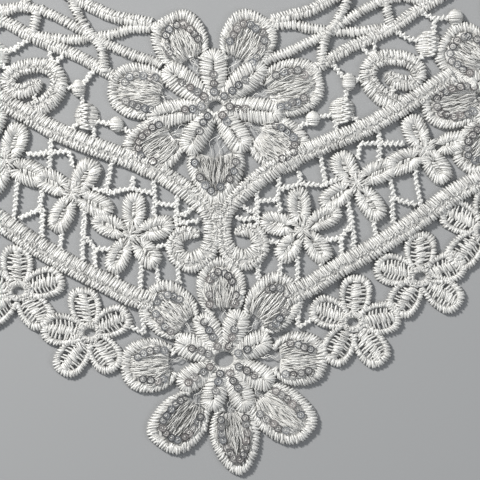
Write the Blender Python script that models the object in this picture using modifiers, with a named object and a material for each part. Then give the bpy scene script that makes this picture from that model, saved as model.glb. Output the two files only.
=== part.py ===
"""Lace collar: a guipure lace collar lying flat on a table, front point towards -Y, centre-back opening at +Y.

Every piece is a wall of stitched lace, 1 to 2.4 mm thick, with a flat underside at Z = 0. Each piece is drawn flat in
millimetres on the wearer's-front grid (x across, y towards the neck) out of petals, cords and bars, is cut back 0.3 mm
from the pieces that were set down before it, and is raised from that outline. The tables hold one motif per row.
"""

import math

import bpy
from mathutils import Vector
from mathutils.geometry import delaunay_2d_cdt

# ---------------------------------------------------------------- driving sizes, in millimetres
MM = 0.001
GAP = 0.3  # left open at each seam
CLOSE = 0.22  # how closely a piece keeps to the outline of its petals and cords
COARSE = 0.5  # the same for the plain flowers at the back
RIM = 1.2  # wall height at the rim of a padded piece
CREST = 2.4  # height along the middle of a padded cord or petal
FLAT = 1.8  # height of the flat-topped lattice cords
CORD_W = 6.0  # inner main cord
OUTER_CORD_W = 6.6
SCROLL_W = 5.6
EDGE_W = 3.8  # neck edge cord and its lattice
LOWER_W = 4.0  # cord along the lower side of the lattice
BRIDE_W = 1.5  # thin joining bars
CURVE_STEP = 12.0  # length of one facet along a cord
BACK_GAP = 3.0  # half of the opening at the centre back
BORDER_PITCH = 27.5  # between flowers along the outer border
MIDDLE_PITCH = 27.0  # between small flowers past the side flower
ORIGIN_Y = 91.6  # grid height of the middle of the finished collar

# ---------------------------------------------------------------- guide curves of the right half
# Front rows (x, y), then a quarter oval round the shoulder to the centre back:
# (middle height, half width, half depth, first angle in degrees)
NECK_ROWS = [(20, 69.3), (27, 70.9), (33, 72.3), (38, 74.8), (45, 78.5), (52, 82.5), (60, 88), (67, 94)]
NECK_OVAL = (138.0, 87.0, 70.0, -32.0)
LOWER_ROWS = [(33, 52), (38, 55), (42, 57.5), (48, 60.5), (54, 62.8), (60, 65.5), (66, 69.5), (72, 73), (80, 77.5), (91, 84)]
LOWER_OVAL = (138.0, 116.0, 92.0, -29.0)
INNER_ROWS = [(0.5, 8.0), (4, 9.5), (8, 12.5), (15, 17.3), (25, 23.0), (35, 27.0), (40, 28.8), (50, 32.5), (60, 37.7), (70, 43.4), (78, 48.2)]
OUTER_ROWS = [(22, -22.8), (30, -19.7), (35, -16.7), (40, -13.7), (50, -8.6), (60, -2.9), (70, 3.5), (80, 10.2), (92, 15.5), (106, 19.5), (118, 27), (128, 40), (134.5, 56), (138, 75), (140.2, 96)]
OUTER_OVAL = (130.0, 143.0, 106.5, -5.0)
BORDER_ROWS = [(67, -17.6), (88.7, -2.8), (113, 3.5), (133, 18), (146, 40), (152, 64), (155.8, 92)]
BORDER_OVAL = (130.0, 158.5, 121.5, -5.0)
MIDDLE_OVAL = (134.0, 129.5, 98.5, -27.0)
MIDDLE_LAST_X = 110.0  # the small flowers stop here, where the two cords draw together

# Where the zigzag that holds the drawn-together cords touches them, on the facing sides of their ovals
INNER_TIE = (138.0, 120.0, 96.0)
OUTER_TIE = (130.0, 138.8, 102.3)
LATTICE_TURNS = 5  # times the crossing cords go there and back between the neck edge and the lower cord

# Lattice cords across the front of the neck, each a run of (x, y)
LATTICE = {
    "wave": [(20, 68), (27, 67.8), (31, 66.8), (36, 65.8), (42, 65), (47, 64.6), (52, 65), (60, 66)],
    "rise": [(19, 56.5), (25, 58.5), (30, 60.7), (35, 63), (40, 65.8), (44, 68), (50, 71.5), (56, 74.3), (63, 76.5)],
    "cross": [(46.5, 79), (44.5, 73), (42.5, 69.5), (40.5, 66.5), (38, 63.5), (36.8, 60), (36.3, 54.5)],
    "tie": [(58.5, 75), (59, 70), (60, 66)],
    "level": [(58, 75), (66, 76), (74, 75)],
}

# Big flowers: (centre x, y, hole length, hole height), then a row per petal (angle, reach, width, squareness 0 to 1, sideways lean of the tip)
NECK_FLOWER = (0.2, 41.7, 4.6, 3.4)
NECK_PETALS = [
    (62.0, 33.6, 19.0, 0.6, 0.0),
    (114.5, 33.2, 19.0, 0.6, 0.0),
    (10.5, 36.8, 18.5, 0.5, 0.0),
    (166.5, 36.8, 18.5, 0.5, 0.0),
    (-34.0, 35.5, 18.0, 0.5, 0.0),
    (213.0, 35.5, 18.0, 0.5, 0.0),
]
NECK_LEAVES = [(90, 15.5, 9), (38, 20, 9), (-9, 23, 8.5), (-59, 17.5, 9.5), (142, 20, 9), (189, 23, 8.5), (239, 17.5, 9.5)]
HEART = [(-8.6, 25.6), (0, 26.6), (8.6, 25.6), (9.4, 21.5), (5.6, 14.5), (1.2, 11.0), (-1.2, 11.0), (-5.6, 14.5), (-9.4, 21.5)]

TIP_FLOWER = (0.7, -43.2, 6.6, 5.0)
TIP_PETALS = [
    (92.0, 33.8, 15.5, 0.3, 0.0),
    (53.5, 34.6, 17.5, 0.6, 0.0),
    (-1.5, 34.6, 17.8, 0.5, 0.0),
    (-47.0, 38.6, 17.2, 0.4, 2.6),
    (-83.5, 39.0, 16.6, 0.1, 0.0),
    (-125.0, 36.2, 17.6, 0.7, -1.4),
    (183.0, 34.8, 17.8, 0.5, 0.0),
    (131.5, 34.6, 17.5, 0.6, 0.0),
]
TIP_LEAVES = [(66, 19, 8.5), (24, 19.5, 8.5), (-25, 20, 8.5), (-67, 20, 8), (-106, 20, 8), (-151, 19, 8.5), (161, 19, 8.5), (114, 18, 8.5)]

SIDE_FLOWER = (104.0, 44.0, 4.6, 3.6)
SIDE_PETALS = [
    (150.0, 31.0, 18.0, 0.9, 0.0),
    (189.0, 35.0, 16.5, 0.5, 0.0),
    (231.0, 34.0, 16.0, 0.5, 0.0),
    (273.0, 21.0, 13.0, 0.5, 0.0),
    (318.0, 18.5, 12.5, 0.5, 0.0),
    (4.0, 25.0, 15.0, 0.5, 0.0),
    (50.0, 32.0, 17.0, 0.5, 0.0),
    (100.0, 36.0, 17.0, 0.5, 0.0),
]
SIDE_LEAVES = [(170, 18, 8), (210, 18, 8), (252, 15, 7.5), (295, 13, 7), (341, 14, 7.5), (27, 17, 8), (75, 17, 8), (125, 18, 8)]

# How wide a big petal is along its reach: (share of the reach, share of the half width)
PETAL_FORM = [(0.10, 0.20), (0.34, 0.62), (0.58, 0.98), (0.78, 0.97), (0.92, 0.68)]

# Small puffy flowers between the cords: a row per petal (middle x, y, angle, length, width)
SMALL_FRONT = [
    (27.4, 6.6, 92, 13.5, 7.6),
    (20.6, 1.2, 166, 13.0, 7.6),
    (35.0, 2.6, 25, 13.5, 7.2),
    (23.8, -6.3, 233, 11.5, 7.6),
    (32.6, -6.4, 306, 12.5, 7.6),
    (43.2, 19.2, 116, 12.0, 8.4),
    (53.4, 17.4, 20, 14.0, 7.6),
    (40.6, 10.6, 213, 14.0, 7.6),
    (50.8, 7.8, 304, 14.0, 7.8),
    (63.4, 21.2, 200, 14.0, 8.0),
    (67.2, 30.2, 112, 13.0, 8.2),
    (73.2, 19.4, 303, 13.5, 8.0),
    (78.2, 26.4, 14, 12.0, 7.2),
]
SMALL_CORES = [(28.4, -0.8, 3.2), (46.8, 14.2, 3.2), (70.2, 24.9, 3.0)]
SMALL_ANGLES = [95, 168, 25, 235, 308]  # of a whole small flower, from the band's own direction

# Thin bars of the front, between the cords and round the flowers: runs of (x, y)
BARS_MIDDLE = [
    [(20.7, 16.6), (20.5, 5.0)],
    [(20.7, 13), (28, 14.8), (35.5, 13.6), (41, 16)],
    [(34.8, 23.6), (36.4, 14.6)],
    [(13.2, 11.5), (13.2, 1.3)],
    [(13.2, 9), (20.5, 9.8)],
    [(47, 23.4), (48.7, 27.4), (63, 26.8)],
    [(54.8, 30.5), (54.8, 20.4)],
    [(57.4, 17.2), (59.3, 8.9), (66.3, 6.2)],
    [(66.2, 20), (67.8, 5.5)],
    [(43.2, 9.8), (45.7, -7.8)],
    [(41.3, -10), (41.1, -4), (35.5, -4.6)],
    [(52, 2), (52.8, -3.4)],
    [(15.4, -4.2), (20.4, -4.7)],
    [(20.8, -9.6), (20.4, -15.2)],
    [(25.8, -8.9), (26.4, -18)],
]
BARS_UPPER = [
    [(39.5, 54.6), (43.6, 49.5)],
    [(44.4, 46), (43.6, 41)],
    [(33, 36.4), (40, 37)],
    [(28.6, 33.8), (31.6, 35)],
    [(40.4, 35.5), (40.5, 31.4)],
    [(45.5, 36.6), (48, 34.6)],
    [(46, 48.4), (51, 48.6)],
    [(54, 60.5), (54.5, 56.5)],
    [(59.6, 44.2), (60.4, 49)],
    [(61.8, 64), (66.5, 61.5), (72, 61)],
    [(67.6, 53.5), (71.2, 57.6)],
    [(69.5, 70.4), (74.5, 68.2), (81.5, 68.6)],
    [(74.5, 68.4), (73.6, 61)],
]
SCROLL = [(60.5, 39.4), (55.4, 41), (52, 44.8), (51.2, 49.8), (53.4, 54), (57.8, 56.2), (63, 55.8), (67.4, 53), (68.2, 49.4), (65.2, 47.6), (61.6, 48.2), (58.6, 50.8)]
# Filled discs and knots: (x, y, width, height)
DISCS = [(42.6, 38.4, 8.2, 8.8), (72.1, 59.7, 8.4, 8.8), (45.2, 48.0, 4.4, 6.2), (32.8, 36.1, 5.2, 5.4), (81.4, 68.4, 5.6, 5.6)]
HOOK = [(3.1, -1.5), (3.4, -6.4), (7.4, -10.4), (12.6, -9.4), (15.2, -4.8), (13.4, -1.0), (9.8, 0.0), (6.4, -0.6)]
STEM = [(0, 9.0), (0, -3.0)]
# Bars that tie the ends of the outer cord and the border to the point flower
BARS_TIP = [[(26.5, -24), (25.6, -33.4)], [(31.5, -30), (25.9, -33.4)]]

# Five-petalled border flowers of the front: hole (x, y), then petals (middle x, y, angle, length, width)
BORDER_FRONT = [
    ((44.1, -32.1), [(45.2, -23.4, 84, 14.5, 10.6), (35.9, -28.6, 158, 12.8, 10.4), (53.6, -31.1, 4, 13.6, 10.8), (39.0, -40.1, 232, 13.6, 10.6), (50.2, -41.0, 302, 13.4, 10.6)]),
    ((67.0, -17.6), [(67.3, -9.0, 90, 13.6, 10.6), (57.9, -15.0, 167, 13.0, 10.4), (75.8, -15.0, 10, 14.0, 10.2), (61.9, -24.6, 235, 14.0, 10.6), (74.6, -23.6, 322, 14.4, 10.6)]),
]
BORDER_ANGLES = [84, 157, 12, 233, 312]

# The left half lies a little off the mirror of the right, as laid by hand: at (x, y) of the mirrored half it moves by (dx, dy)
LAY = [
    (-50, 33, 0, 1.2),
    (-62, 39, 0, 2.3),
    (-72, 46, 0, 2.8),
    (-36, 27, 0, 0.0),
    (-30, -19.5, 0, -2.0),
    (-40, -13.4, 0, -3.2),
    (-50, -8.2, 0, -2.2),
    (-60, -2.5, 0, -1.5),
    (-72, 5, 0, 0.2),
    (-28, -0.5, -1.4, -0.1),
    (-46, 14.5, -2.6, -1.0),
    (-44, -32, 0.6, -1.3),
    (-67, -17.6, -0.4, -1.2),
    (-9, -4, -1.5, -0.8),
    (0, -4, 0, 0),
    (0, 20, 0, 0),
    (-20, 66, 0, 0.4),
    (-60, 66, 0, 1.4),
    (-59, 50, 0.3, 1.5),
    (-43, 43, 0.2, 1.0),
    (-100, 30, 0, 1.0),
    (-130, 90, 0, 0),
    (-100, 200, 0, 0),
]
LAY_REACH = 9.0


def lay(x, y):
    """Where a point of the half on the left comes to lie."""
    total, sx, sy = 1e-4, 0.0, 0.0
    for ax, ay, dx, dy in LAY:
        weight = 1.0 / ((x - ax) ** 2 + (y - ay) ** 2 + LAY_REACH**2) ** 2
        total, sx, sy = total + weight, sx + weight * dx, sy + weight * dy
    near = 1.0 - min(1.0, max(0.0, (y - 80.0) / 60.0))
    return x + near * sx / total, y + near * sy / total


# ---------------------------------------------------------------- curves and outlines
def smooth(rows, step):
    """A smooth run through the rows, in even steps of about this length."""
    fine = []
    for i in range(len(rows) - 1):
        p0, p1, p2, p3 = rows[max(i - 1, 0)], rows[i], rows[i + 1], rows[min(i + 2, len(rows) - 1)]
        for k in range(12):
            t = k / 12.0
            fine.append(
                tuple(
                    0.5 * (2 * b + (c - a) * t + (2 * a - 5 * b + 4 * c - d) * t * t + (3 * b - a - 3 * c + d) * t**3)
                    for a, b, c, d in zip(p0, p1, p2, p3)
                )
            )
    fine.append(tuple(float(v) for v in rows[-1]))
    run = [0.0]
    for a, b in zip(fine, fine[1:]):
        run.append(run[-1] + math.dist(a, b))
    count = max(1, round(run[-1] / step))
    out, j = [], 0
    for k in range(count + 1):
        want = run[-1] * k / count
        while j < len(run) - 2 and run[j + 1] < want:
            j += 1
        t = (want - run[j]) / max(1e-9, run[j + 1] - run[j])
        out.append((fine[j][0] + (fine[j + 1][0] - fine[j][0]) * t, fine[j][1] + (fine[j + 1][1] - fine[j][1]) * t))
    return out


def oval(form, last_x, count=14):
    """Rows along a quarter oval, from its first angle until it comes this near the middle of the back."""
    middle, half_x, half_y, first = form
    last = math.degrees(math.acos(last_x / half_x))
    return [
        (half_x * math.cos(a), middle + half_y * math.sin(a))
        for a in (math.radians(first + (last - first) * k / count) for k in range(count + 1))
    ]


def facing(points, i):
    a, b = points[max(i - 1, 0)], points[min(i + 1, len(points) - 1)]
    length = math.dist(a, b) or 1.0
    return (b[0] - a[0]) / length, (b[1] - a[1]) / length


def band(points, width, end_width=None):
    """A cord of this width along a run of points, as a row of four-sided pieces."""
    left, right = [], []
    for i, (x, y) in enumerate(points):
        share = i / max(1, len(points) - 1)
        half = (width + ((end_width or width) - width) * share) / 2
        tx, ty = facing(points, i)
        left.append((x - ty * half, y + tx * half))
        right.append((x + ty * half, y - tx * half))
    return [[right[i], right[i + 1], left[i + 1], left[i]] for i in range(len(points) - 1)]


def oval_petal(x, y, angle, length, width, sides=6):
    turn = math.radians(angle)
    out = []
    for k in range(sides):
        a = 2 * math.pi * (k + 0.5) / sides
        u, v = length / 2 * 1.08 * math.cos(a), width / 2 * 1.08 * math.sin(a)
        out.append((x + u * math.cos(turn) - v * math.sin(turn), y + u * math.sin(turn) + v * math.cos(turn)))
    return out


def big_petal(cx, cy, angle, reach, width, square, lean):
    """A petal that starts at the flower's middle, is widest past half of its reach, and ends round or square."""
    turn = math.radians(angle)
    tip = 0.30 + 0.34 * square
    form = PETAL_FORM + [(0.985, tip)]
    side = [(reach * u, width / 2 * h) for u, h in form]
    points = [(u, -h) for u, h in side] + ([] if square > 0.35 else [(reach * 1.01, 0.0)]) + [(u, h) for u, h in reversed(side)]
    out = []
    for u, v in points:
        v += lean * (u / reach) ** 3
        out.append((cx + u * math.cos(turn) - v * math.sin(turn), cy + u * math.sin(turn) + v * math.cos(turn)))
    return out


def grown(poly, by):
    """The outline moved outwards by this much."""
    area = sum(a[0] * b[1] - b[0] * a[1] for a, b in zip(poly, poly[1:] + poly[:1]))
    sign = 1.0 if area > 0 else -1.0
    out = []
    for i, (x, y) in enumerate(poly):
        a, b = poly[i - 1], poly[(i + 1) % len(poly)]
        la, lb = math.dist(a, (x, y)) or 1.0, math.dist((x, y), b) or 1.0
        n1 = ((y - a[1]) / la * sign, -(x - a[0]) / la * sign)
        n2 = ((b[1] - y) / lb * sign, -(b[0] - x) / lb * sign)
        nx, ny = n1[0] + n2[0], n1[1] + n2[1]
        scale = by / max(0.35, (nx * nx + ny * ny) / 2)
        out.append((x + nx * scale, y + ny * scale))
    return out


def mirrored(poly):
    return [lay(-x, y) for x, y in reversed(poly)]


def flower(head, petals, leaves):
    cx, cy = head[:2]
    shapes = [big_petal(cx, cy, *row) for row in petals]
    shapes += [oval_petal(cx + reach / 2 * math.cos(math.radians(a)), cy + reach / 2 * math.sin(math.radians(a)), a, reach, w, 6) for a, reach, w in leaves]
    shapes.append(oval_petal(cx, cy, 0, 12, 11, 8))
    peaks = [(cx + 0.66 * r * math.cos(math.radians(a)), cy + 0.66 * r * math.sin(math.radians(a)), 2.0) for a, r, *_ in petals]
    hole = oval_petal(cx, cy, 0, head[2], head[3], 6)
    return {"own": shapes, "cut": [hole], "peaks": peaks}


# ---------------------------------------------------------------- from outlines to one closed wall
def arrangement(polys, points=()):
    """All outlines laid over each other: the points, the triangles, and the outlines that each triangle is in."""
    verts, faces = [], []
    for poly in polys:
        area = sum(a[0] * b[1] - b[0] * a[1] for a, b in zip(poly, poly[1:] + poly[:1]))
        start = len(verts)
        ordered = poly if area > 0 else list(reversed(poly))
        verts.extend(Vector((x, y)) for x, y in ordered)
        faces.append(list(range(start, start + len(ordered))))
    verts.extend(Vector((x, y)) for x, y in points)
    out, _, tris, _, _, inside = delaunay_2d_cdt(verts, [], faces, 0, 1e-4, True)
    return [tuple(v) for v in out], tris, [set(ids) for ids in inside]


def rims(tris):
    """The directed edges with a triangle on one side only, chained into loops."""
    edges = {}
    for t in tris:
        for a, b in ((t[0], t[1]), (t[1], t[2]), (t[2], t[0])):
            edges[(a, b)] = True
    after = {}
    for a, b in edges:
        if (b, a) not in edges:
            after.setdefault(a, []).append(b)
    loops = []
    while after:
        first = next(iter(after))
        loop, at = [first], first
        while True:
            nxt = after[at].pop()
            if not after[at]:
                del after[at]
            if nxt == first:
                break
            loop.append(nxt)
            at = nxt
        loops.append(loop)
    return loops


def parted(loop):
    """A loop that passes twice through one point, as loops that pass through each point once."""
    out, run, place = [], [], {}
    for v in loop:
        if v in place:
            start = place[v]
            out.append(run[start:])
            for gone in run[start:]:
                del place[gone]
            run = run[:start]
        place[v] = len(run)
        run.append(v)
    out.append(run)
    return out


def parts_of(tris):
    """The triangles in groups that share edges."""
    by_edge, group = {}, list(range(len(tris)))

    def root(i):
        while group[i] != i:
            group[i] = group[group[i]]
            i = group[i]
        return i

    for i, t in enumerate(tris):
        for a, b in ((t[0], t[1]), (t[1], t[2]), (t[2], t[0])):
            key = (min(a, b), max(a, b))
            if key in by_edge:
                group[root(i)] = root(by_edge[key])
            by_edge[key] = i
    found = {}
    for i, t in enumerate(tris):
        found.setdefault(root(i), []).append(t)
    return list(found.values())


def area_of(loop):
    return 0.5 * sum(a[0] * b[1] - b[0] * a[1] for a, b in zip(loop, loop[1:] + loop[:1]))


def tidied(loop, off=CLOSE, near=0.45):
    """The loop without points that lie on the line of their neighbours or almost on each other."""
    again = True
    while again and len(loop) > 4:
        again = False
        i = 0
        while i < len(loop) and len(loop) > 4:
            a, p, b = loop[i - 1], loop[i], loop[(i + 1) % len(loop)]
            base = math.dist(a, b) or 1e-9
            height = abs((b[0] - a[0]) * (p[1] - a[1]) - (b[1] - a[1]) * (p[0] - a[0])) / base
            along = ((p[0] - a[0]) * (b[0] - a[0]) + (p[1] - a[1]) * (b[1] - a[1])) / base
            if (height < off and -off < along < base + off) or math.dist(a, p) < near:
                loop = loop[:i] + loop[i + 1 :]
                again = True
            else:
                i += 1
    return loop


def shrunk(loop, by=0.06):
    """A loop set back a little, so that two loops that met at a point no longer do."""
    return grown(loop, -by) if area_of(loop) > 0 else grown(list(reversed(loop)), by)[::-1]


def wall_outline(own, cut, off):
    """The outer rim and the holes of what the own outlines cover and the cut ones leave."""
    points, tris, inside = arrangement(own + cut)
    mine = set(range(len(own)))
    keep = [t for t, ids in zip(tris, inside) if ids & mine and not ids - mine]
    groups = parts_of(keep)

    def size(group):
        return sum(abs(area_of([points[i] for i in t])) for t in group)

    keep = max(groups, key=size)
    lost = sum(size(g) for g in groups) - size(keep)
    loops = []
    for loop in rims(keep):
        loops += [[points[i] for i in run] for run in parted(loop) if len(run) > 2]
    loops = [tidied(loop, off) for loop in loops]
    loops = [loop for loop in loops if len(loop) > 2 and abs(area_of(loop)) > 1.2]
    outer = max(loops, key=area_of)
    holes = [shrunk(loop) for loop in loops if area_of(loop) < 0]
    return outer, holes, lost


def inside_loop(p, loop):
    hit = False
    for a, b in zip(loop, loop[1:] + loop[:1]):
        if (a[1] > p[1]) != (b[1] > p[1]) and p[0] < (b[0] - a[0]) * (p[1] - a[1]) / (b[1] - a[1]) + a[0]:
            hit = not hit
    return hit


def clear_of(p, loops, by):
    for loop in loops:
        for a, b in zip(loop, loop[1:] + loop[:1]):
            length2 = (b[0] - a[0]) ** 2 + (b[1] - a[1]) ** 2 or 1e-9
            t = max(0.0, min(1.0, ((p[0] - a[0]) * (b[0] - a[0]) + (p[1] - a[1]) * (b[1] - a[1])) / length2))
            if math.dist(p[:2], (a[0] + t * (b[0] - a[0]), a[1] + t * (b[1] - a[1]))) < by:
                return False
    return True


def flat_wall(name, verts, tris, height):
    """A flat-topped wall: the filled outline as a sheet at its full height, thickened downwards to the table."""
    used = sorted({i for t in tris for i in t})
    place = {i: k for k, i in enumerate(used)}
    mesh = bpy.data.meshes.new(name)
    mesh.from_pydata(
        [(verts[i][0] * MM, (verts[i][1] - ORIGIN_Y) * MM, height * MM) for i in used], [], [tuple(place[i] for i in t) for t in tris]
    )
    obj = bpy.data.objects.new(name, mesh)
    COLLAR.objects.link(obj)
    mesh.materials.append(thread_material(name))
    solid = obj.modifiers.new("thickness", "SOLIDIFY")
    solid.thickness = height * MM
    solid.offset = -1.0
    return obj


def wall(name, own, cut, rim, peaks=(), off=CLOSE):
    """One closed wall: the outline raised to the rim height, and higher at the peaks (x, y, height)."""
    outer, holes, lost = wall_outline(own, cut, off)
    loops = [outer] + holes
    peaks = [p for p in peaks if inside_loop(p, outer) and not any(inside_loop(p, h) for h in holes) and clear_of(p, loops, 0.9)]

    def filled(points):
        verts, tris, inside = arrangement(loops, points)
        return verts, [t for t, ids in zip(tris, inside) if ids == {0}]

    top, top_tris = filled([p[:2] for p in peaks])
    if not peaks:
        return flat_wall(name, top, top_tris, rim)
    base, base_tris = filled([])

    def key(p):
        return round(p[0] * 500), round(p[1] * 500)

    heights = {key(p): p[2] for p in peaks}
    verts, faces = [], []
    at_top = {}
    for i in sorted({i for t in top_tris for i in t}):
        at_top[i] = len(verts)
        x, y = top[i]
        verts.append((x, y, heights.get(key(top[i]), rim)))
    at_base, base_key = {}, {}
    for i in sorted({i for t in base_tris for i in t}):
        at_base[i] = len(verts)
        base_key[key(base[i])] = len(verts)
        verts.append((base[i][0], base[i][1], 0.0))
    faces += [tuple(at_top[i] for i in t) for t in top_tris]
    faces += [tuple(at_base[i] for i in reversed(t)) for t in base_tris]
    for loop in rims(top_tris):
        for a, b in zip(loop, loop[1:] + loop[:1]):
            ta, tb, ba, bb = at_top[a], at_top[b], base_key[key(top[a])], base_key[key(top[b])]
            faces += [(ba, bb, tb), (ba, tb, ta)]
    mesh = bpy.data.meshes.new(name)
    mesh.from_pydata([(x * MM, (y - ORIGIN_Y) * MM, z * MM) for x, y, z in verts], [], faces)
    mesh.validate()
    obj = bpy.data.objects.new(name, mesh)
    COLLAR.objects.link(obj)
    mesh.materials.append(thread_material(name))
    print(f"{name}: {len(faces)} triangles, {len(holes)} holes, {lost:.1f} mm2 left out")
    return obj


def thread_material(name):
    mat = bpy.data.materials.new(name)
    mat.use_nodes = True
    shader = mat.node_tree.nodes["Principled BSDF"]
    shader.inputs["Base Color"].default_value = (0.86, 0.85, 0.82, 1.0)
    shader.inputs["Roughness"].default_value = 0.75
    return mat


# ---------------------------------------------------------------- the pieces of the right half
def crest(points, height=CREST):
    return [(x, y, height) for x, y in points[1:-1]]


def back_rows(rows, form, step=CURVE_STEP):
    return smooth(rows + oval(form, BACK_GAP + 2.0), step)


def from_x(points, first, last=1e9):
    """The part of a run whose length share lies between these two."""
    n = len(points) - 1
    return [p for i, p in enumerate(points) if first <= i / n <= last]


def set_flower(x, y, turn, size, angles, off, length, width):
    """Petals of a whole flower set at a place, turned and scaled."""
    rows = []
    for a in angles:
        t = math.radians(a + turn)
        rows.append((x + off * size * math.cos(t), y + off * size * math.sin(t), a + turn, length * size, width * size))
    return rows


def spaced(points, first, pitch, last_gap):
    """Places at even pitch along a run of fine points, each with the run's direction."""
    run = [0.0]
    for a, b in zip(points, points[1:]):
        run.append(run[-1] + math.dist(a, b))
    span = run[-1] - first - last_gap
    count = round(span / pitch)
    out = []
    for k in range(count + 1):
        want = first + span * k / count
        j = max(i for i in range(len(run)) if run[i] <= want + 1e-9)
        j = min(j, len(points) - 2)
        t = (want - run[j]) / (run[j + 1] - run[j])
        a, b = points[j], points[j + 1]
        out.append((a[0] + (b[0] - a[0]) * t, a[1] + (b[1] - a[1]) * t, math.degrees(math.atan2(b[1] - a[1], b[0] - a[0])), want / run[-1]))
    return out


def right_half():
    """Each piece of the half on the right: name -> own outlines, height at the rim, peaks."""
    out = {}
    neck = back_rows(NECK_ROWS, NECK_OVAL, 9.5)
    lower = back_rows(LOWER_ROWS, LOWER_OVAL, 10.5)
    inner = smooth(INNER_ROWS, 8.5)
    outer = back_rows(OUTER_ROWS, OUTER_OVAL)
    flower_parts = flower(SIDE_FLOWER, SIDE_PETALS, SIDE_LEAVES)
    out["side_flower"] = (flower_parts["own"], RIM, flower_parts["peaks"], flower_parts["cut"])

    cut_at = [i for i, p in enumerate(outer) if p[1] > 58][0]
    split_n = [i for i, p in enumerate(neck) if p[1] > 104][0]
    split_l = [i for i, p in enumerate(lower) if p[1] > 86][0]
    out["inner_cord_front"] = (band(inner, CORD_W), RIM, crest(inner), [])
    out["inner_cord_back"] = (band(lower[split_l:], CORD_W - 0.6), RIM, crest(lower[split_l:]), [])
    out["outer_cord_front"] = (band(outer[: cut_at + 1], OUTER_CORD_W), RIM, crest(outer[: cut_at + 1]), [])
    out["outer_cord_back"] = (band(outer[cut_at:], OUTER_CORD_W - 0.6), RIM, crest(outer[cut_at:]), [])

    # the end bar at the centre back
    end = [(BACK_GAP + 1.8, NECK_OVAL[0] + NECK_OVAL[2] - 1.5), (BACK_GAP + 1.8, BORDER_OVAL[0] + BORDER_OVAL[2] + 4.0)]
    out["back_end_bar"] = (band(end, 3.6), FLAT, [], [])

    # neck lattice: edge cord, lower cord, and two cords that cross between them
    start_n = [i for i, p in enumerate(neck) if p[0] > 60][0]
    start_l = [i for i, p in enumerate(lower) if p[0] > 62][0]

    def between(share, f):
        """A point this share of the way along the lattice, f of the way from the neck edge to the lower cord."""
        a = share * (len(neck) - 1 - start_n) + start_n
        b = share * (len(lower) - 1 - start_l) + start_l
        p = [neck[int(a)][k] + (neck[min(int(a) + 1, len(neck) - 1)][k] - neck[int(a)][k]) * (a - int(a)) for k in (0, 1)]
        q = [lower[int(b)][k] + (lower[min(int(b) + 1, len(lower) - 1)][k] - lower[int(b)][k]) * (b - int(b)) for k in (0, 1)]
        return p[0] + (q[0] - p[0]) * f, p[1] + (q[1] - p[1]) * f

    turns = 2 * LATTICE_TURNS
    shares = [0.0] + [(k + 0.5) / turns for k in range(turns)] + [1.0]
    one = [between(s, 0.5 if s in (0.0, 1.0) else (0.03 if k % 2 else 0.97)) for k, s in enumerate(shares)]
    two = [between(s, 0.5 if s in (0.0, 1.0) else (0.97 if k % 2 else 0.03)) for k, s in enumerate(shares)]
    part = max(k for k, s in enumerate(shares) if s * (len(neck) - 1 - start_n) + start_n <= split_n)
    front = band(neck[: split_n + 1], EDGE_W) + band(lower[: split_l + 1], LOWER_W)
    for run in LATTICE.values():
        front += band(smooth(run, 9.0), EDGE_W - 0.4)
    back = band(neck[split_n:], EDGE_W)
    for run in (one, two):
        for k, ends in enumerate(zip(run, run[1:])):
            bar = band(ends, EDGE_W - 0.6)
            if k < part:
                front += bar
            else:
                back += bar
    out["neck_lattice_front"] = (front, FLAT, [], [])
    out["neck_lattice_back"] = (back, FLAT, [], [])

    # scroll insert between lattice and inner cord, front only
    scroll = smooth(SCROLL, 5.2)
    own = band(scroll, SCROLL_W, 4.2) + [oval_petal(x, y, 0, w, h, 8 if w > 6 else 6) for x, y, w, h in DISCS]
    for bar in BARS_UPPER:
        own += band(bar, BRIDE_W)
    out["scroll_insert"] = (own, RIM + 0.2, [(x, y, 2.2) for x, y in scroll[2:-2]] + [(x, y, 2.3) for x, y, *_ in DISCS[2:]], [])

    # small flowers between the two cords
    own = [oval_petal(*row) for row in SMALL_FRONT] + [oval_petal(x, y, 0, 2 * r, 2 * r, 6) for x, y, r in SMALL_CORES]
    for bar in BARS_MIDDLE:
        own += band(bar, BRIDE_W)
    out["middle_flowers_front"] = (own, RIM + 0.2, [(x, y, 2.3) for x, y, *_ in SMALL_FRONT], [])
    line = smooth(oval(MIDDLE_OVAL, MIDDLE_LAST_X), 2.0)
    own = band(smooth(line, 16.0), BRIDE_W)
    ties = [line[-1]]
    for k in range(1, 7):
        a = math.radians(32 + 4.2 * k)
        form = INNER_TIE if k % 2 else OUTER_TIE
        ties.append((form[1] * math.cos(a), form[0] + form[2] * math.sin(a)))
    for ends in zip(ties, ties[1:]):
        own += band(ends, BRIDE_W)
    for x, y, turn, share in spaced(line, 3.0, MIDDLE_PITCH - 3.0, 2.0):
        rows = set_flower(x, y, turn, 0.80 - 0.26 * share, SMALL_ANGLES, 7.4, 14.0, 8.8)
        own += [oval_petal(*row, sides=5) for row in rows]
    out["middle_flowers_back"] = (own, FLAT, [], [])

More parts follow.
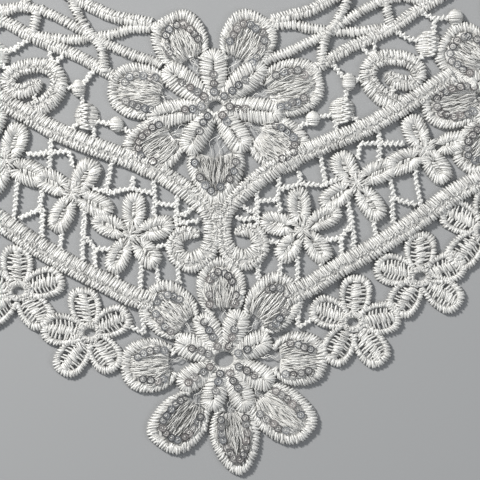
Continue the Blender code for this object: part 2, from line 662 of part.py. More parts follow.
    # border of five-petalled flowers outside the outer cord
    own, cut, peaks = [], [], []
    for (hx, hy), petals in BORDER_FRONT:
        own += [oval_petal(*row, sides=8) for row in petals]
        own.append(oval_petal(hx, hy, 0, 11, 10, 6))
        cut.append(oval_petal(hx, hy, 0, 3.2, 2.2, 4))
        peaks += [(r[0], r[1], 1.0) for r in petals]
    for bar in BARS_TIP:
        own += band(bar, BRIDE_W)
    line = smooth(BORDER_ROWS + oval(BORDER_OVAL, BACK_GAP + 3.5), 2.0)
    places = spaced(line, math.dist(*BORDER_ROWS[:2]), BORDER_PITCH, 12.0)
    half = [i for i, p in enumerate(places) if p[1] > 50][0]
    rows_back = []
    for k, (x, y, turn, share) in enumerate(places):
        size = 1.0 - 0.06 * min(1.0, k / 6.0)
        rows = set_flower(x, y, turn - 32.0, size, BORDER_ANGLES, 9.2, 14.6, 11.4)
        shapes = [oval_petal(*row, sides=8 if k < 1 else 5) for row in rows] + [oval_petal(x, y, 0, 9.5, 9, 6)]
        hole = oval_petal(x, y, turn, 3.0 * size, 2.2 * size, 4)
        if k < half:
            own += shapes
            cut.append(hole)
        else:
            rows_back += shapes
    out["border_front"] = (own, RIM + 0.4, peaks, cut)
    out["border_back"] = (rows_back, RIM + 0.4, [], [])
    return out


def main():
    made = {}
    neck = flower(NECK_FLOWER, NECK_PETALS, NECK_LEAVES)
    tip = flower(TIP_FLOWER, TIP_PETALS, TIP_LEAVES)
    hook = smooth(HOOK, 4.2)
    stem = band(STEM, 12.5, 7.6) + band([(0, -2), (2.2, -6)], 5.0) + band([(0, -2), (-2.2, -6)], 5.0)
    left_hook = [lay(-x, y) for x, y in hook]
    order = [("neck_flower", neck["own"] + [HEART], RIM, neck["peaks"] + [(0, 20, 2.0)], neck["cut"])]
    order.append(("tip_flower", tip["own"], RIM, tip["peaks"], tip["cut"]))
    arm = [p for p in smooth(INNER_ROWS, 8.5) if p[0] < 30]
    left_arm = [lay(-x, y) for x, y in arm]
    stem += band(arm, CORD_W + 0.6) + band(left_arm, CORD_W + 0.6)
    order.append(("stem_scroll", stem + band(hook, SCROLL_W, 4.0) + band(left_hook, SCROLL_W, 4.0), RIM, [(x, y, 2.2) for x, y in hook[1:-2] + left_hook[1:-2]] + [(0, 4, 2.3), (0, -1, 2.3)], []))
    half = right_half()
    names = ["side_flower", "inner_cord_front", "outer_cord_front", "inner_cord_back", "outer_cord_back", "back_end_bar", "neck_lattice_front", "neck_lattice_back", "scroll_insert", "middle_flowers_front", "middle_flowers_back", "border_front", "border_back"]
    for name in names:
        own, rim, peaks, cut = half[name]
        order.append((name + "_right", own, rim, peaks, cut))
        order.append((name + "_left", [mirrored(p) for p in own], rim, [(*lay(-x, y), z) for x, y, z in peaks], [mirrored(p) for p in cut]))

    def box(polys):
        xs, ys = [x for p in polys for x, _ in p], [y for p in polys for _, y in p]
        return min(xs), min(ys), max(xs), max(ys)

    for name, own, rim, peaks, cut in order:
        x0, y0, x1, y1 = box(own)
        off = COARSE if name.startswith(("border_back", "middle_flowers_back")) else CLOSE
        near = []
        for shapes in made.values():
            for poly in shapes:
                a0, b0, a1, b1 = box([poly])
                if a0 < x1 + 1 and a1 > x0 - 1 and b0 < y1 + 1 and b1 > y0 - 1:
                    near.append(grown(poly, GAP + off / 2))
        wall(name, own, near + cut, rim, peaks, off)
        made[name] = own


for old in list(bpy.data.objects):
    bpy.data.objects.remove(old)
COLLAR = bpy.data.collections.new("lace_collar")
bpy.context.scene.collection.children.link(COLLAR)
main()
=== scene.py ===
"""Looks of the lace collar: padded cords, petals and scrolls covered thread by thread in satin stitch, zigzag bars,
loose filling threads and clear sequins. All of it is mesh, set out in millimetres on the collar's drawing grid (x
across, y towards the neck)."""

import math

import bpy
import numpy as np
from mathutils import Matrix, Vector


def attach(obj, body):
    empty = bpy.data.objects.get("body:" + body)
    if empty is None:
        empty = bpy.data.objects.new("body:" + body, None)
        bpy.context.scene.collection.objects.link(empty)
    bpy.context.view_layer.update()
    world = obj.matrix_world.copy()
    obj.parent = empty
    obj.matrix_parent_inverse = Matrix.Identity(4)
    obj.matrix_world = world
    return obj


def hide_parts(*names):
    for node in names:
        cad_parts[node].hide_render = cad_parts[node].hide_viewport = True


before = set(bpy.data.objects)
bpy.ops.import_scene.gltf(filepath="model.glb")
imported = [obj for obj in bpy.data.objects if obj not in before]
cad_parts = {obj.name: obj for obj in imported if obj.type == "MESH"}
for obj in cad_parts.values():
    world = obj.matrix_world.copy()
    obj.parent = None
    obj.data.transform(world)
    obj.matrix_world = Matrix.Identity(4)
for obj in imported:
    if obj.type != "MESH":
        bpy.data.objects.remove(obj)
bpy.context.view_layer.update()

# ---------------------------------------------------------------- sizes, in millimetres
ORIGIN_Y = 91.6  # grid height of the row's origin
TOOTH = 1.07  # one stitch tooth along a satin edge; a tooth is a long thread and a short one
FOOT = 0.04  # height of the underside
CORD_W, CORD_H = 6.2, 2.35
OUTER_CORD_W, OUTER_CORD_H = 6.9, 2.4
SCROLL_W = 5.7
EDGE_W = 3.7
LATTICE_W = 2.8
BACK_GAP = 3.0
BORDER_PITCH = 27.5
MIDDLE_PITCH = 27.0
MIDDLE_LAST_X = 110.0
LATTICE_TURNS = 5
BACK_PITCH = 1.14  # from thread to thread on the unseen back

# ---------------------------------------------------------------- guide curves of the right half: rows (x, y), then a quarter oval
NECK_ROWS = [(20, 69.3), (27, 70.9), (33, 72.3), (38, 74.8), (45, 78.5), (52, 82.5), (60, 88), (67, 94)]
NECK_OVAL = (138.0, 87.0, 70.0, -32.0)
LOWER_ROWS = [(33, 52), (38, 55), (42, 57.5), (48, 60.5), (54, 62.8), (60, 65.5), (66, 69.5), (72, 73), (80, 77.5), (91, 84)]
LOWER_OVAL = (138.0, 116.0, 92.0, -29.0)
INNER_ROWS = [(8, 12.5), (15, 17.3), (25, 23.0), (35, 27.0), (40, 28.8), (50, 32.5), (60, 37.7), (70, 43.4), (80, 49.5)]
OUTER_ROWS = [(22, -22.8), (30, -19.7), (35, -16.7), (40, -13.7), (50, -8.6), (60, -2.9), (70, 3.5), (80, 10.2), (92, 15.5), (106, 19.5), (118, 27), (128, 40), (134.5, 56), (138, 75), (140.2, 96)]
OUTER_OVAL = (130.0, 143.0, 106.5, -5.0)
BORDER_ROWS = [(67, -17.6), (88.7, -2.8), (113, 3.5), (133, 18), (146, 40), (152, 64), (155.8, 92)]
BORDER_OVAL = (130.0, 158.5, 121.5, -5.0)
MIDDLE_OVAL = (134.0, 129.5, 98.5, -27.0)
INNER_TIE = (138.0, 120.0, 96.0)
OUTER_TIE = (130.0, 138.8, 102.3)

# Lattice cords across the front of the neck: runs of (x, y), each with its height
LATTICE = [
    ([(16, 69.2), (20, 68), (27, 67.8), (31, 66.8), (36, 65.8), (42, 65), (47, 64.6), (52, 65), (60, 66)], 1.6),
    ([(17, 55.5), (19, 56.5), (25, 58.5), (30, 60.7), (35, 63), (40, 65.8), (44, 68), (50, 71.5), (56, 74.3), (64, 76.8)], 1.85),
    ([(47, 80), (44.5, 73), (42.5, 69.5), (40.5, 66.5), (38, 63.5), (36.8, 60), (36.3, 53.5)], 2.1),
    ([(58, 76), (59, 70), (60.2, 65)], 1.9),
    ([(56, 74.8), (66, 76), (77, 75)], 1.7),
]

# Big flowers: centre x, y, hole length, height, and how far the hole lies off the centre; petals (angle, start, reach, width, belly, squareness, lean); leaves (angle, start, reach, width)
NECK_FLOWER = (0.2, 41.7, 4.1, 3.3, 0.2, -0.5)
NECK_PETALS = [
    (60.5, 14.6, 33.8, 18.2, 0.70, 0.55, 0.6),
    (117.0, 14.6, 33.8, 18.2, 0.70, 0.55, -0.6),
    (10.8, 15.4, 37.0, 18.8, 0.68, 0.35, 0.4),
    (168.0, 15.4, 36.0, 18.4, 0.68, 0.35, -0.2),
    (-33.0, 14.6, 34.8, 17.8, 0.68, 0.5, 0.0),
    (212.5, 14.6, 34.6, 17.8, 0.68, 0.5, 0.0),
]
NECK_LEAVES = [(38, 2.2, 21.6, 9.2), (142, 2.2, 21.2, 9.2), (-9, 2.4, 23.5, 8.6), (189, 2.4, 23.0, 8.6), (-57, 2.0, 18.8, 8.8), (237, 2.0, 18.8, 8.8), (90, 2.2, 18.8, 9.2)]
# Runs of sequins: (petal, from, to) as shares of the way round from the left of the base to its right
NECK_CHAINS = [(0, 0.2, 0.72), (0, 0.82, 0.88), (1, 0.24, 0.3), (1, 0.4, 0.78), (2, 0.18, 0.42), (2, 0.64, 0.84), (3, 0.16, 0.38), (3, 0.56, 0.84), (4, 0.18, 0.62), (5, 0.38, 0.86)]
NECK_LEAF_SEQUINS = [(0, 4, 3), (1, 4, 3), (2, 3, 4), (3, 3, 4), (4, 2, 3), (5, 3, 3), (6, 3, 3)]

TIP_FLOWER = (0.7, -43.2, 5.9, 4.7, 0.0, 0.0)
TIP_PETALS = [
    (90.5, 14.2, 34.0, 16.2, 0.68, 0.25, 0.0),
    (47.0, 14.8, 35.0, 17.4, 0.68, 0.5, 0.0),
    (-1.5, 15.6, 34.4, 17.8, 0.70, 0.35, 0.0),
    (-46.0, 14.8, 38.0, 17.4, 0.68, 0.4, 1.8),
    (-83.5, 15.0, 39.0, 16.6, 0.64, -0.25, 0.0),
    (-125.5, 14.8, 36.2, 17.4, 0.70, 0.7, -1.6),
    (183.0, 15.4, 34.4, 17.8, 0.70, 0.35, 0.0),
    (136.5, 14.8, 34.4, 17.4, 0.68, 0.5, 0.0),
]
TIP_LEAVES = [(23, 3.2, 17.2, 8.4), (158, 3.2, 17.4, 8.4), (-28, 3.2, 18.6, 8.8), (-151, 3.2, 17.8, 8.6), (-66, 2.8, 19.0, 8.4), (-107, 2.8, 17.8, 8.4), (69, 2.8, 17.4, 8.4), (116, 2.8, 17.0, 8.6)]
TIP_CHAINS = [(0, 0.14, 0.22), (0, 0.36, 0.66), (0, 0.78, 0.86), (1, 0.34, 0.52), (1, 0.72, 0.88), (2, 0.2, 0.4), (2, 0.62, 0.84), (3, 0.12, 0.4), (3, 0.6, 0.84), (4, 0.14, 0.88), (5, 0.14, 0.88), (6, 0.16, 0.36), (6, 0.6, 0.86), (7, 0.16, 0.36), (7, 0.48, 0.72)]
TIP_LEAF_SEQUINS = [(0, 2, 2), (1, 3, 4), (2, 3, 2), (3, 4, 3), (4, 3, 3), (5, 3, 3), (6, 3, 3), (7, 4, 4)]

SIDE_FLOWER = (104.0, 44.0, 4.6, 3.6, 0.0, 0.0)
SIDE_PETALS = [
    (147.0, 13.6, 32.4, 18.4, 0.70, 0.95, 0.0),
    (189.0, 13.6, 35.0, 16.8, 0.68, 0.4, 0.0),
    (230.0, 13.6, 34.2, 16.2, 0.68, 0.4, 0.0),
    (273.0, 9.0, 21.5, 13.0, 0.64, 0.4, 0.0),
    (318.0, 9.0, 19.0, 12.5, 0.64, 0.4, 0.0),
    (4.0, 11.0, 25.2, 15.0, 0.66, 0.4, 0.0),
    (50.0, 13.6, 32.0, 17.2, 0.68, 0.5, 0.0),
    (100.0, 13.8, 36.0, 17.2, 0.68, 0.4, 0.0),
]
SIDE_LEAVES = [(170, 3, 20, 8.2), (210, 3, 20, 8.2), (252, 3, 16, 7.5), (295, 3, 14, 7), (341, 3, 15, 7.5), (27, 3, 18, 8), (75, 3, 20, 8), (125, 3, 20, 8.2)]
SIDE_CHAINS = [(0, 0.16, 0.8), (1, 0.14, 0.9), (2, 0.2, 0.86), (3, 0.3, 0.7), (5, 0.2, 0.8), (6, 0.12, 0.88), (7, 0.12, 0.88)]
SIDE_LEAF_SEQUINS = [(0, 3, 3), (1, 3, 3), (2, 2, 3), (5, 2, 3), (6, 3, 3), (7, 3, 3)]

HEART = [(-9.2, 25.4), (-9.5, 21.6), (-8.2, 17.0), (-5.6, 12.2), (-2.6, 8.6), (0, 7.3), (2.6, 8.6), (5.6, 12.2), (8.2, 17.0), (9.5, 21.6), (9.2, 25.4)]
HEART_CHAIN = [(6.4, 22.8), (5.7, 19.7), (4.1, 17.3), (1.4, 14.5), (-1.5, 13.0), (-3.4, 15.3), (-5.4, 17.5), (-6.9, 22.2)]
# Small puffy flowers between the cords: a row per petal (middle x, y, angle, length, width)
SMALL_FRONT = [
    (27.4, 6.6, 92, 13.5, 7.6),
    (20.6, 1.2, 166, 13.0, 7.6),
    (35.0, 2.6, 25, 13.5, 7.2),
    (23.8, -6.3, 233, 11.5, 7.6),
    (32.6, -6.4, 306, 12.5, 7.6),
    (43.2, 19.2, 116, 12.0, 8.4),
    (53.4, 17.4, 20, 14.0, 7.6),
    (40.6, 10.6, 213, 14.0, 7.6),
    (50.8, 7.8, 304, 14.0, 7.8),
    (63.4, 21.2, 200, 14.0, 8.0),
    (67.2, 30.2, 112, 13.0, 8.2),
    (73.2, 19.4, 303, 13.5, 8.0),
    (78.2, 26.4, 14, 12.0, 7.2),
]
SMALL_CORES = [(28.4, -0.8, 3.0), (46.8, 14.2, 3.0), (70.2, 24.9, 3.0)]
SMALL_ANGLES = [95, 168, 25, 235, 308]

BARS_MIDDLE = [
    [(20.7, 17.6), (20.5, 5.0)],
    [(20.7, 13), (28, 14.8), (35.5, 13.6), (41, 16)],
    [(34.8, 24.6), (36.4, 13.6)],
    [(13.2, 12.5), (13.2, 0.3)],
    [(13.2, 9), (20.5, 9.8)],
    [(47, 22.4), (48.7, 27.4), (63, 26.8)],
    [(54.8, 31.5), (54.8, 19.4)],
    [(57.4, 17.2), (59.3, 8.9), (66.3, 6.2)],
    [(66.2, 20), (67.8, 4.5)],
    [(43.2, 10.8), (45.7, -8.8)],
    [(41.3, -11), (41.1, -4), (34.5, -4.6)],
    [(52, 3), (52.8, -4.4)],
    [(15.4, -4.2), (20.4, -4.7)],
    [(20.8, -8.6), (20.4, -16.2)],
    [(25.8, -7.9), (26.4, -19)],
    [(7.6, 8.3), (11, 5.4), (13.2, 6.4)],
    [(6, 3.6), (11, 3), (13.2, 4.0)],
    [(27.6, 18.8), (27.9, 15.0)],
    [(58.1, 9.5), (58.7, 0.2)],
    [(34, -10.5), (34.3, -15.6)],
    [(13.2, -11.6), (13.2, -17.2)],
    [(44, 5.5), (44.9, 0.7), (42.2, -2.3), (41.1, -4)],
]
BARS_UPPER = [
    [(38.5, 55.9), (43.6, 49.5)],
    [(44.4, 46), (43.6, 41)],
    [(33, 36.4), (40, 37)],
    [(27.6, 33.3), (31.6, 35)],
    [(40.4, 35.5), (40.5, 30.4)],
    [(45.5, 36.6), (48.5, 34.0)],
    [(46, 48.4), (51, 48.6)],
    [(54, 62.5), (54.5, 55.5)],
    [(49.5, 59.5), (52.8, 56.6), (54.5, 57.6)],
    [(59.6, 43.2), (60.4, 49)],
    [(60.8, 64.6), (66.5, 61.5), (72, 61)],
    [(67.6, 53.5), (71.2, 57.6)],
    [(68.5, 70.9), (74.5, 68.2), (81.5, 68.6)],
    [(74.5, 68.4), (73.6, 61)],
]
SCROLL = [(63.5, 39.6), (60.6, 40.6), (57.2, 42.1), (53.6, 45.2), (51.6, 49.6), (53.0, 53.8), (56.6, 55.6), (60.6, 55.7), (65.3, 54.6), (68.3, 51.8), (68.2, 48.6), (65.6, 46.9), (62.6, 47.4), (60.2, 48.3), (58.9, 49.5), (58.0, 50.6)]
SCROLL_WIDTHS = [5.4, 6.0, 6.3, 6.2, 6.0, 5.7, 5.5, 5.4, 5.4, 5.4, 5.4, 5.4, 5.3, 5.2, 4.6, 2.4]
DISCS = [(42.6, 38.4, 8.2, 8.8), (72.1, 59.7, 8.4, 8.8)]
KNOTS = [(45.2, 48.0, 4.6, 5.8), (32.8, 36.1, 4.8, 4.8), (81.4, 68.4, 5.2, 5.2)]
HOOK = [(30, 25.0), (25, 23.0), (20, 20.3), (15, 17.1), (10.8, 14.0), (7.3, 11.0), (4.3, 7.8), (2.7, 4.9), (2.0, 2.0), (1.9, -1.6), (2.3, -4.8), (4.3, -8.3), (8.9, -10.3), (13.0, -8.1), (14.0, -4.7), (12.7, -1.5), (10.3, -0.3), (7.9, -0.5), (5.6, -0.9)]
HOOK_WIDTHS = [6.2, 6.2, 6.2, 6.2, 6.2, 6.0, 5.4, 4.9, 4.7, 4.9, 5.6, 6.4, 7.0, 6.4, 5.9, 5.3, 4.7, 3.9, 2.0]
BARS_TIP = [[(26.5, -23), (25.6, -33.4)], [(31.9, -29.5), (25.9, -33.4)]]

# Five-petalled border flowers of the front: hole (x, y), then petals (middle x, y, angle, length, width)
BORDER_FRONT = [
    ((44.1, -32.1), [(45.2, -23.4, 84, 14.5, 10.6), (35.9, -28.6, 158, 12.8, 10.4), (53.6, -31.1, 4, 13.6, 10.8), (39.0, -40.1, 232, 13.6, 10.6), (50.2, -41.0, 302, 13.4, 10.6)]),
    ((67.0, -17.6), [(67.3, -9.0, 90, 13.6, 10.6), (57.9, -15.0, 167, 13.0, 10.4), (75.8, -15.0, 10, 14.0, 10.2), (61.9, -24.6, 235, 14.0, 10.6), (74.6, -23.6, 322, 14.4, 10.6)]),
]
BORDER_ANGLES = [84, 157, 12, 233, 312]

# The left half lies a little off the mirror of the right: at (x, y) of the mirrored half it moves by (dx, dy)
LAY = np.array(
    [
        (-50, 33, 0, 1.2),
        (-62, 39, 0, 2.3),
        (-72, 46, 0, 2.8),
        (-36, 27, 0, 0.0),
        (-30, -19.5, 0, -2.0),
        (-40, -13.4, 0, -3.2),
        (-50, -8.2, 0, -2.2),
        (-60, -2.5, 0, -1.5),
        (-72, 5, 0, 0.2),
        (-28, -0.5, -1.4, -0.1),
        (-46, 14.5, -2.6, -1.0),
        (-44, -32, 0.6, -1.3),
        (-67, -17.6, -0.4, -1.2),
        (-9, -4, -1.5, -0.8),
        (0, -4, 0, 0),
        (0, 20, 0, 0),
        (-20, 66, 0, 0.4),
        (-60, 66, 0, 1.4),
        (-59, 50, 0.3, 1.5),
        (-43, 43, 0.2, 1.0),
        (-100, 30, 0, 1.0),
        (-130, 90, 0, 0),
        (-100, 200, 0, 0),
    ],
    float,
)
LAY_REACH = 9.0


def on_right(points):
    return np.asarray(points, float)


def on_left(points):
    """The mirror image of points on the right, moved as the left half was laid."""
    p = np.array(points, float)
    p[..., 0] = -p[..., 0]
    flat = p[..., :2].reshape(-1, 2)
    weight = 1.0 / (((flat[:, None, :] - LAY[None, :, :2]) ** 2).sum(-1) + LAY_REACH**2) ** 2
    shift = weight @ LAY[:, 2:] / (1e-4 + weight.sum(1))[:, None]
    near = 1.0 - np.clip((flat[:, 1] - 80.0) / 60.0, 0.0, 1.0)
    p[..., :2] += (shift * near[:, None]).reshape(p[..., :2].shape)
    return p


# ---------------------------------------------------------------- curves
def lengths(line):
    return np.r_[0.0, np.cumsum(np.linalg.norm(np.diff(line, axis=0), axis=1))]


def at_lengths(line, s, u):
    return np.column_stack([np.interp(u, s, line[:, k]) for k in range(line.shape[1])])


def evenly(line, step):
    s = lengths(line)
    return at_lengths(line, s, np.linspace(0, s[-1], max(3, int(round(s[-1] / step)) + 1)))


def curve(rows, step=0.5):
    """A smooth run through the rows, with a point every step."""
    p = np.array(rows, float)
    p = np.vstack([p[:1], p, p[-1:]])
    out = []
    for i in range(1, len(p) - 2):
        a, b, c, d = p[i - 1 : i + 3]
        t = np.linspace(0, 1, max(5, int(np.linalg.norm(c - b) / step * 1.5)), endpoint=False)[:, None]
        out.append(0.5 * (2 * b + (c - a) * t + (2 * a - 5 * b + 4 * c - d) * t**2 + (3 * b - a - 3 * c + d) * t**3))
    out.append(p[-1:])
    return evenly(np.vstack(out), step)


def oval(form, last_x, count=40):
    middle, half_x, half_y, first = form
    last = math.degrees(math.acos(last_x / half_x))
    a = np.radians(np.linspace(first, last, count))
    return [tuple(p) for p in np.column_stack([half_x * np.cos(a), middle + half_y * np.sin(a)])]


def left_of(line):
    """The unit normals to the left of a line."""
    t = np.gradient(line, axis=0)
    t /= np.maximum(1e-9, np.linalg.norm(t, axis=1))[:, None]
    return np.column_stack([-t[:, 1], t[:, 0]])


def sides_of(line, width):
    """The two edges of a cord: width is one number or one for each point."""
    half = np.broadcast_to(np.asarray(width, float) / 2, (len(line),))[:, None]
    n = left_of(line)
    return line + n * half, line - n * half


def turned(points, x, y, angle):
    a = math.radians(angle)
    p = np.asarray(points, float)
    return np.column_stack([x + p[:, 0] * math.cos(a) - p[:, 1] * math.sin(a), y + p[:, 0] * math.sin(a) + p[:, 1] * math.cos(a)])


def petal_form(start, reach, width, belly, square, lean=0.0, base=0.3, swell=1.0):
    """A petal along +x: from the left of its base round the tip to the right of its base. base is how wide it starts."""
    p = 2.0 + 1.4 * square
    th = np.linspace(0, math.pi / 2, 44)
    ut = belly + (1 - belly) * np.sin(th) ** (2 / p)
    vt = np.cos(th) ** (2 / p)
    ub = np.linspace(start / reach, belly, 30, endpoint=False)
    vb = base + (1 - base) * np.sin(math.pi / 2 * (ub - start / reach) / (belly - start / reach)) ** swell
    u, v = np.r_[ub, ut] * reach, np.r_[vb, vt] * width / 2
    u, v = np.r_[u, u[::-1][1:]], np.r_[v, -v[::-1][1:]]
    v = v + lean * (u / reach) ** 3
    return evenly(np.column_stack([u, v]), 0.35)


def inset_form(form, start, reach, width, by, lean=0.0):
    """The same petal drawn smaller by this border."""
    u, v = form[:, 0], form[:, 1] - lean * (form[:, 0] / reach) ** 3
    u2 = start + (u - start) * (reach - by - start) / (reach - start)
    v2 = v * (width / 2 - by) / (width / 2)
    return np.column_stack([u2, v2 + lean * (u2 / reach) ** 3])


# ---------------------------------------------------------------- stitches
FORMS = {
    # share of the way across, share of the height
    "cord": ([0, 0.08, 0.28, 0.72, 0.92, 1], [0.1, 0.68, 1, 1, 0.68, 0.1]),
    "edge": ([0, 0.12, 0.42, 0.8, 1], [0.12, 0.76, 1, 0.9, 0.6]),
    "lobe": ([0, 0.14, 0.45, 0.8, 1], [0.12, 0.76, 0.97, 1.0, 0.95]),
    "roll": ([0, 0.12, 0.45, 0.82, 1], [0.12, 0.76, 1, 0.74, 0.3]),
    "flat": ([0, 0.3, 1], [0.85, 1, 0.9]),
}
LIES = {
    # how one thread lies over them
    "cord": ([0, 0.12, 0.5, 0.88, 1], [0.2, 0.84, 1.04, 0.84, 0.2]),
    "edge": ([0, 0.13, 0.42, 0.76, 1], [0.2, 0.82, 1.04, 0.94, 0.6]),
    "lobe": ([0, 0.15, 0.46, 0.78, 1], [0.2, 0.8, 1.0, 1.02, 0.94]),
    "roll": ([0, 0.13, 0.46, 0.82, 1], [0.2, 0.84, 1.05, 0.8, 0.34]),
    "half": ([0, 0.16, 0.45, 0.78, 1], [0.2, 0.84, 1.0, 1.06, 0.98]),
}


class Stitches:
    """One mesh, gathered from closed strips and threads."""

    def __init__(self, name, seed):
        self.name, self.rng = name, np.random.default_rng(seed)
        self.co, self.uv, self.tone, self.quads, self.tris, self.under = [], [], [], [], [], []
        self.count, self.plan, self.triangles = 0, 0.0, 0

    def batch(self, p, uv, tone, ring=False):
        """Strips (k, rows, columns, 3) whose columns go round a closed section. A ring's last row joins its first."""
        k, r, c, _ = p.shape
        a, b = p[0], np.roll(p[0], -1, axis=1)
        n = np.roll(a, -1, axis=0) if ring else a[1:]
        m = np.roll(b, -1, axis=0) if ring else b[1:]
        if not ring:
            a, b = a[:-1], b[:-1]
        volume = (a * np.cross(b, m)).sum() + (a * np.cross(m, n)).sum()
        if not ring:
            for row, sign in ((p[0][0], -1), (p[0][-1], 1)):
                volume += sign * (row[:1] * np.cross(row[1:-1], row[2:])).sum()
        if volume < 0:
            p, uv, tone = p[:, :, ::-1], uv[:, :, ::-1], tone[:, :, ::-1]
        idx = self.count + np.arange(k * r * c).reshape(k, r, c)
        nxt = np.roll(idx, -1, axis=2)
        if ring:
            q = [idx, nxt, np.roll(nxt, -1, axis=1), np.roll(idx, -1, axis=1)]
        else:
            q = [idx[:, :-1], nxt[:, :-1], nxt[:, 1:], idx[:, 1:]]
            first, last = idx[:, 0], idx[:, -1]
            for j in range(1, c - 1):
                self.tris.append(np.stack([first[:, 0], first[:, j + 1], first[:, j]], -1))
                self.tris.append(np.stack([last[:, 0], last[:, j], last[:, j + 1]], -1))
        self.quads.append(np.stack(q, -1).reshape(-1, 4))
        # faces that look down are flat, so that the upper faces keep their own soft shading
        c0, c1, c3 = (p.reshape(-1, 3)[x - self.count] for x in (q[0], q[1], q[3]))
        face = np.cross(c1 - c0, c3 - c0)
        self.under.append((face[..., 2] < -0.3 * np.maximum(1e-12, np.linalg.norm(face, axis=-1))).reshape(-1))
        self.co.append(p.reshape(-1, 3))
        self.uv.append(uv.reshape(-1, 2))
        self.tone.append(tone.reshape(-1))
        self.count += k * r * c

    def ground(self, outer, inner, height, form="edge", step=1.15, trim=(0.3, 0.1), ring=False, gauge=0.0, low=FOOT, tone=0.4):
        """The padding between two edges, as a closed band with a flat underside. Its low tone is painted shade, for the
        gaps between the threads over it.
        """
        line = outer * (1 - gauge) + inner * gauge
        s = lengths(line)
        n = max(4, int(round(s[-1] / step)))
        u = np.linspace(0, s[-1], n + 1)[: n if ring else n + 1]
        a, b = at_lengths(outer, s, u), at_lengths(inner, s, u)
        w = np.linalg.norm(b - a, axis=1)
        d = (b - a) / np.maximum(1e-6, w)[:, None]
        room = np.minimum(1.0, w / 2.0)[:, None]
        full_a, full_b = a, b
        a, b = a + d * trim[0] * room, b - d * trim[1] * room
        across, rise = (np.array(x, float) for x in FORMS[form])
        p = a[:, None, :] + (b - a)[:, None, :] * across[None, :, None]
        top = np.interp(u, s, np.broadcast_to(np.asarray(height, float), (len(s),)))
        z = rise[None, :] * top[:, None] + low
        p = np.concatenate([p, z[..., None]], -1)
        foot = p[:, [-1, 0]].copy()
        foot[..., 2] = low
        p = np.concatenate([p, foot], 1)
        uv = np.stack([np.broadcast_to(u[:, None], p.shape[:2]), np.broadcast_to(np.arange(p.shape[1])[None, :], p.shape[:2])], -1)
        self.batch(p[None], uv[None] * 1.0, np.full((1,) + p.shape[:2], tone), ring)
        a2, b2 = (np.vstack([x, x[:1]]) if ring else x for x in (full_a, full_b))
        q = np.stack([a2[:-1], a2[1:], b2[1:], b2[:-1]], 1)
        self.plan += 0.5 * abs(np.abs((q[:, :, 0] * np.roll(q[:, :, 1], -1, 1) - np.roll(q[:, :, 0], -1, 1) * q[:, :, 1]).sum(1)).sum())

    def threads(self, paths, radius, sides=3, flat=0.6, pinch=0.45, tone=None, wide=1.12, fade=(0.85, 0.85)):
        """Threads side by side: paths (k, rows, 3). flat and wide are their height and width as shares of the radius."""
        k, r, _ = paths.shape
        if not k:
            return
        t = np.gradient(paths, axis=1)
        t /= np.maximum(1e-9, np.linalg.norm(t, axis=2))[..., None]
        side = np.cross(t, [0.0, 0.0, 1.0])
        side /= np.maximum(1e-6, np.linalg.norm(side, axis=2))[..., None]
        up = np.cross(side, t)
        rad = np.broadcast_to(np.asarray(radius, float), (k, r)).copy()
        first, last = pinch if isinstance(pinch, tuple) else (pinch, pinch)
        rad[:, 0] *= first
        rad[:, -1] *= last
        a = 2 * math.pi * (np.arange(sides) + (0.75 if sides == 3 else 0.5)) / sides
        p = paths[:, :, None, :] + rad[:, :, None, None] * (wide * np.cos(a)[None, None, :, None] * side[:, :, None, :] + flat * np.sin(a)[None, None, :, None] * up[:, :, None, :])
        p[..., 2] = np.maximum(p[..., 2], FOOT)
        run = np.concatenate([np.zeros((k, 1)), np.cumsum(np.linalg.norm(np.diff(paths, axis=1), axis=2), axis=1)], 1)
        start = self.rng.uniform(0, 20, (k, 1, 1))
        uv = np.stack([np.broadcast_to((a / (2 * math.pi))[None, None, :] * 3.0 + start, (k, r, sides)), np.broadcast_to(run[:, :, None], (k, r, sides))], -1)
        tone = 0.62 + 0.17 * self.rng.normal(0, 1, k) if tone is None else np.broadcast_to(tone, (k,))
        # the ends of a thread lie in the shade
        ends = np.ones(r)
        ends[0], ends[-1] = fade
        self.batch(p, uv, np.ascontiguousarray(np.broadcast_to(tone[:, None, None] * ends[None, :, None], (k, r, sides))), False)

    def bar(self, place, rows, height=1.4, radius=0.45, wave=1.65, swing=0.76, sides=5):
        """A thin joining bar: a thread that runs from side to side round a straight one and leaves a nub at every turn."""
        rng = self.rng
        line = place(evenly(np.array(rows, float), 0.29))
        s = lengths(line)
        n = left_of(line)
        knots = max(4, int(s[-1] / 2.0))
        turn = 2 * math.pi * s / wave + rng.uniform(0, 6.28) + np.interp(s, np.linspace(0, s[-1], knots), np.cumsum(rng.normal(0, 0.35, knots)))
        drift = np.interp(s, np.linspace(0, s[-1], knots), rng.normal(0, 0.16, knots))
        amp = swing * (1 + np.interp(s, np.linspace(0, s[-1], knots), rng.normal(0, 0.2, knots)))
        across = drift + amp * np.arcsin(0.95 * np.cos(turn)) / 1.25
        core = np.column_stack([line + n * (drift - 0.5 * amp * np.cos(turn))[:, None], np.full(len(s), height * 0.62)])
        wrap = np.column_stack([line + n * across[:, None], height * 0.78 + 0.14 * np.cos(2 * turn + 0.8)])
        self.threads(core[None, ::2], radius * 0.95, sides=sides, flat=1.0, wide=1.0, pinch=0.8, tone=np.array([0.66]))
        self.threads(wrap[None], radius * (0.76 + 0.5 * np.cos(turn) ** 4)[None] * (1 + rng.normal(0, 0.1, (1, len(s)))), sides=sides, flat=1.0, wide=1.0, pinch=0.8, tone=np.array([0.88]))

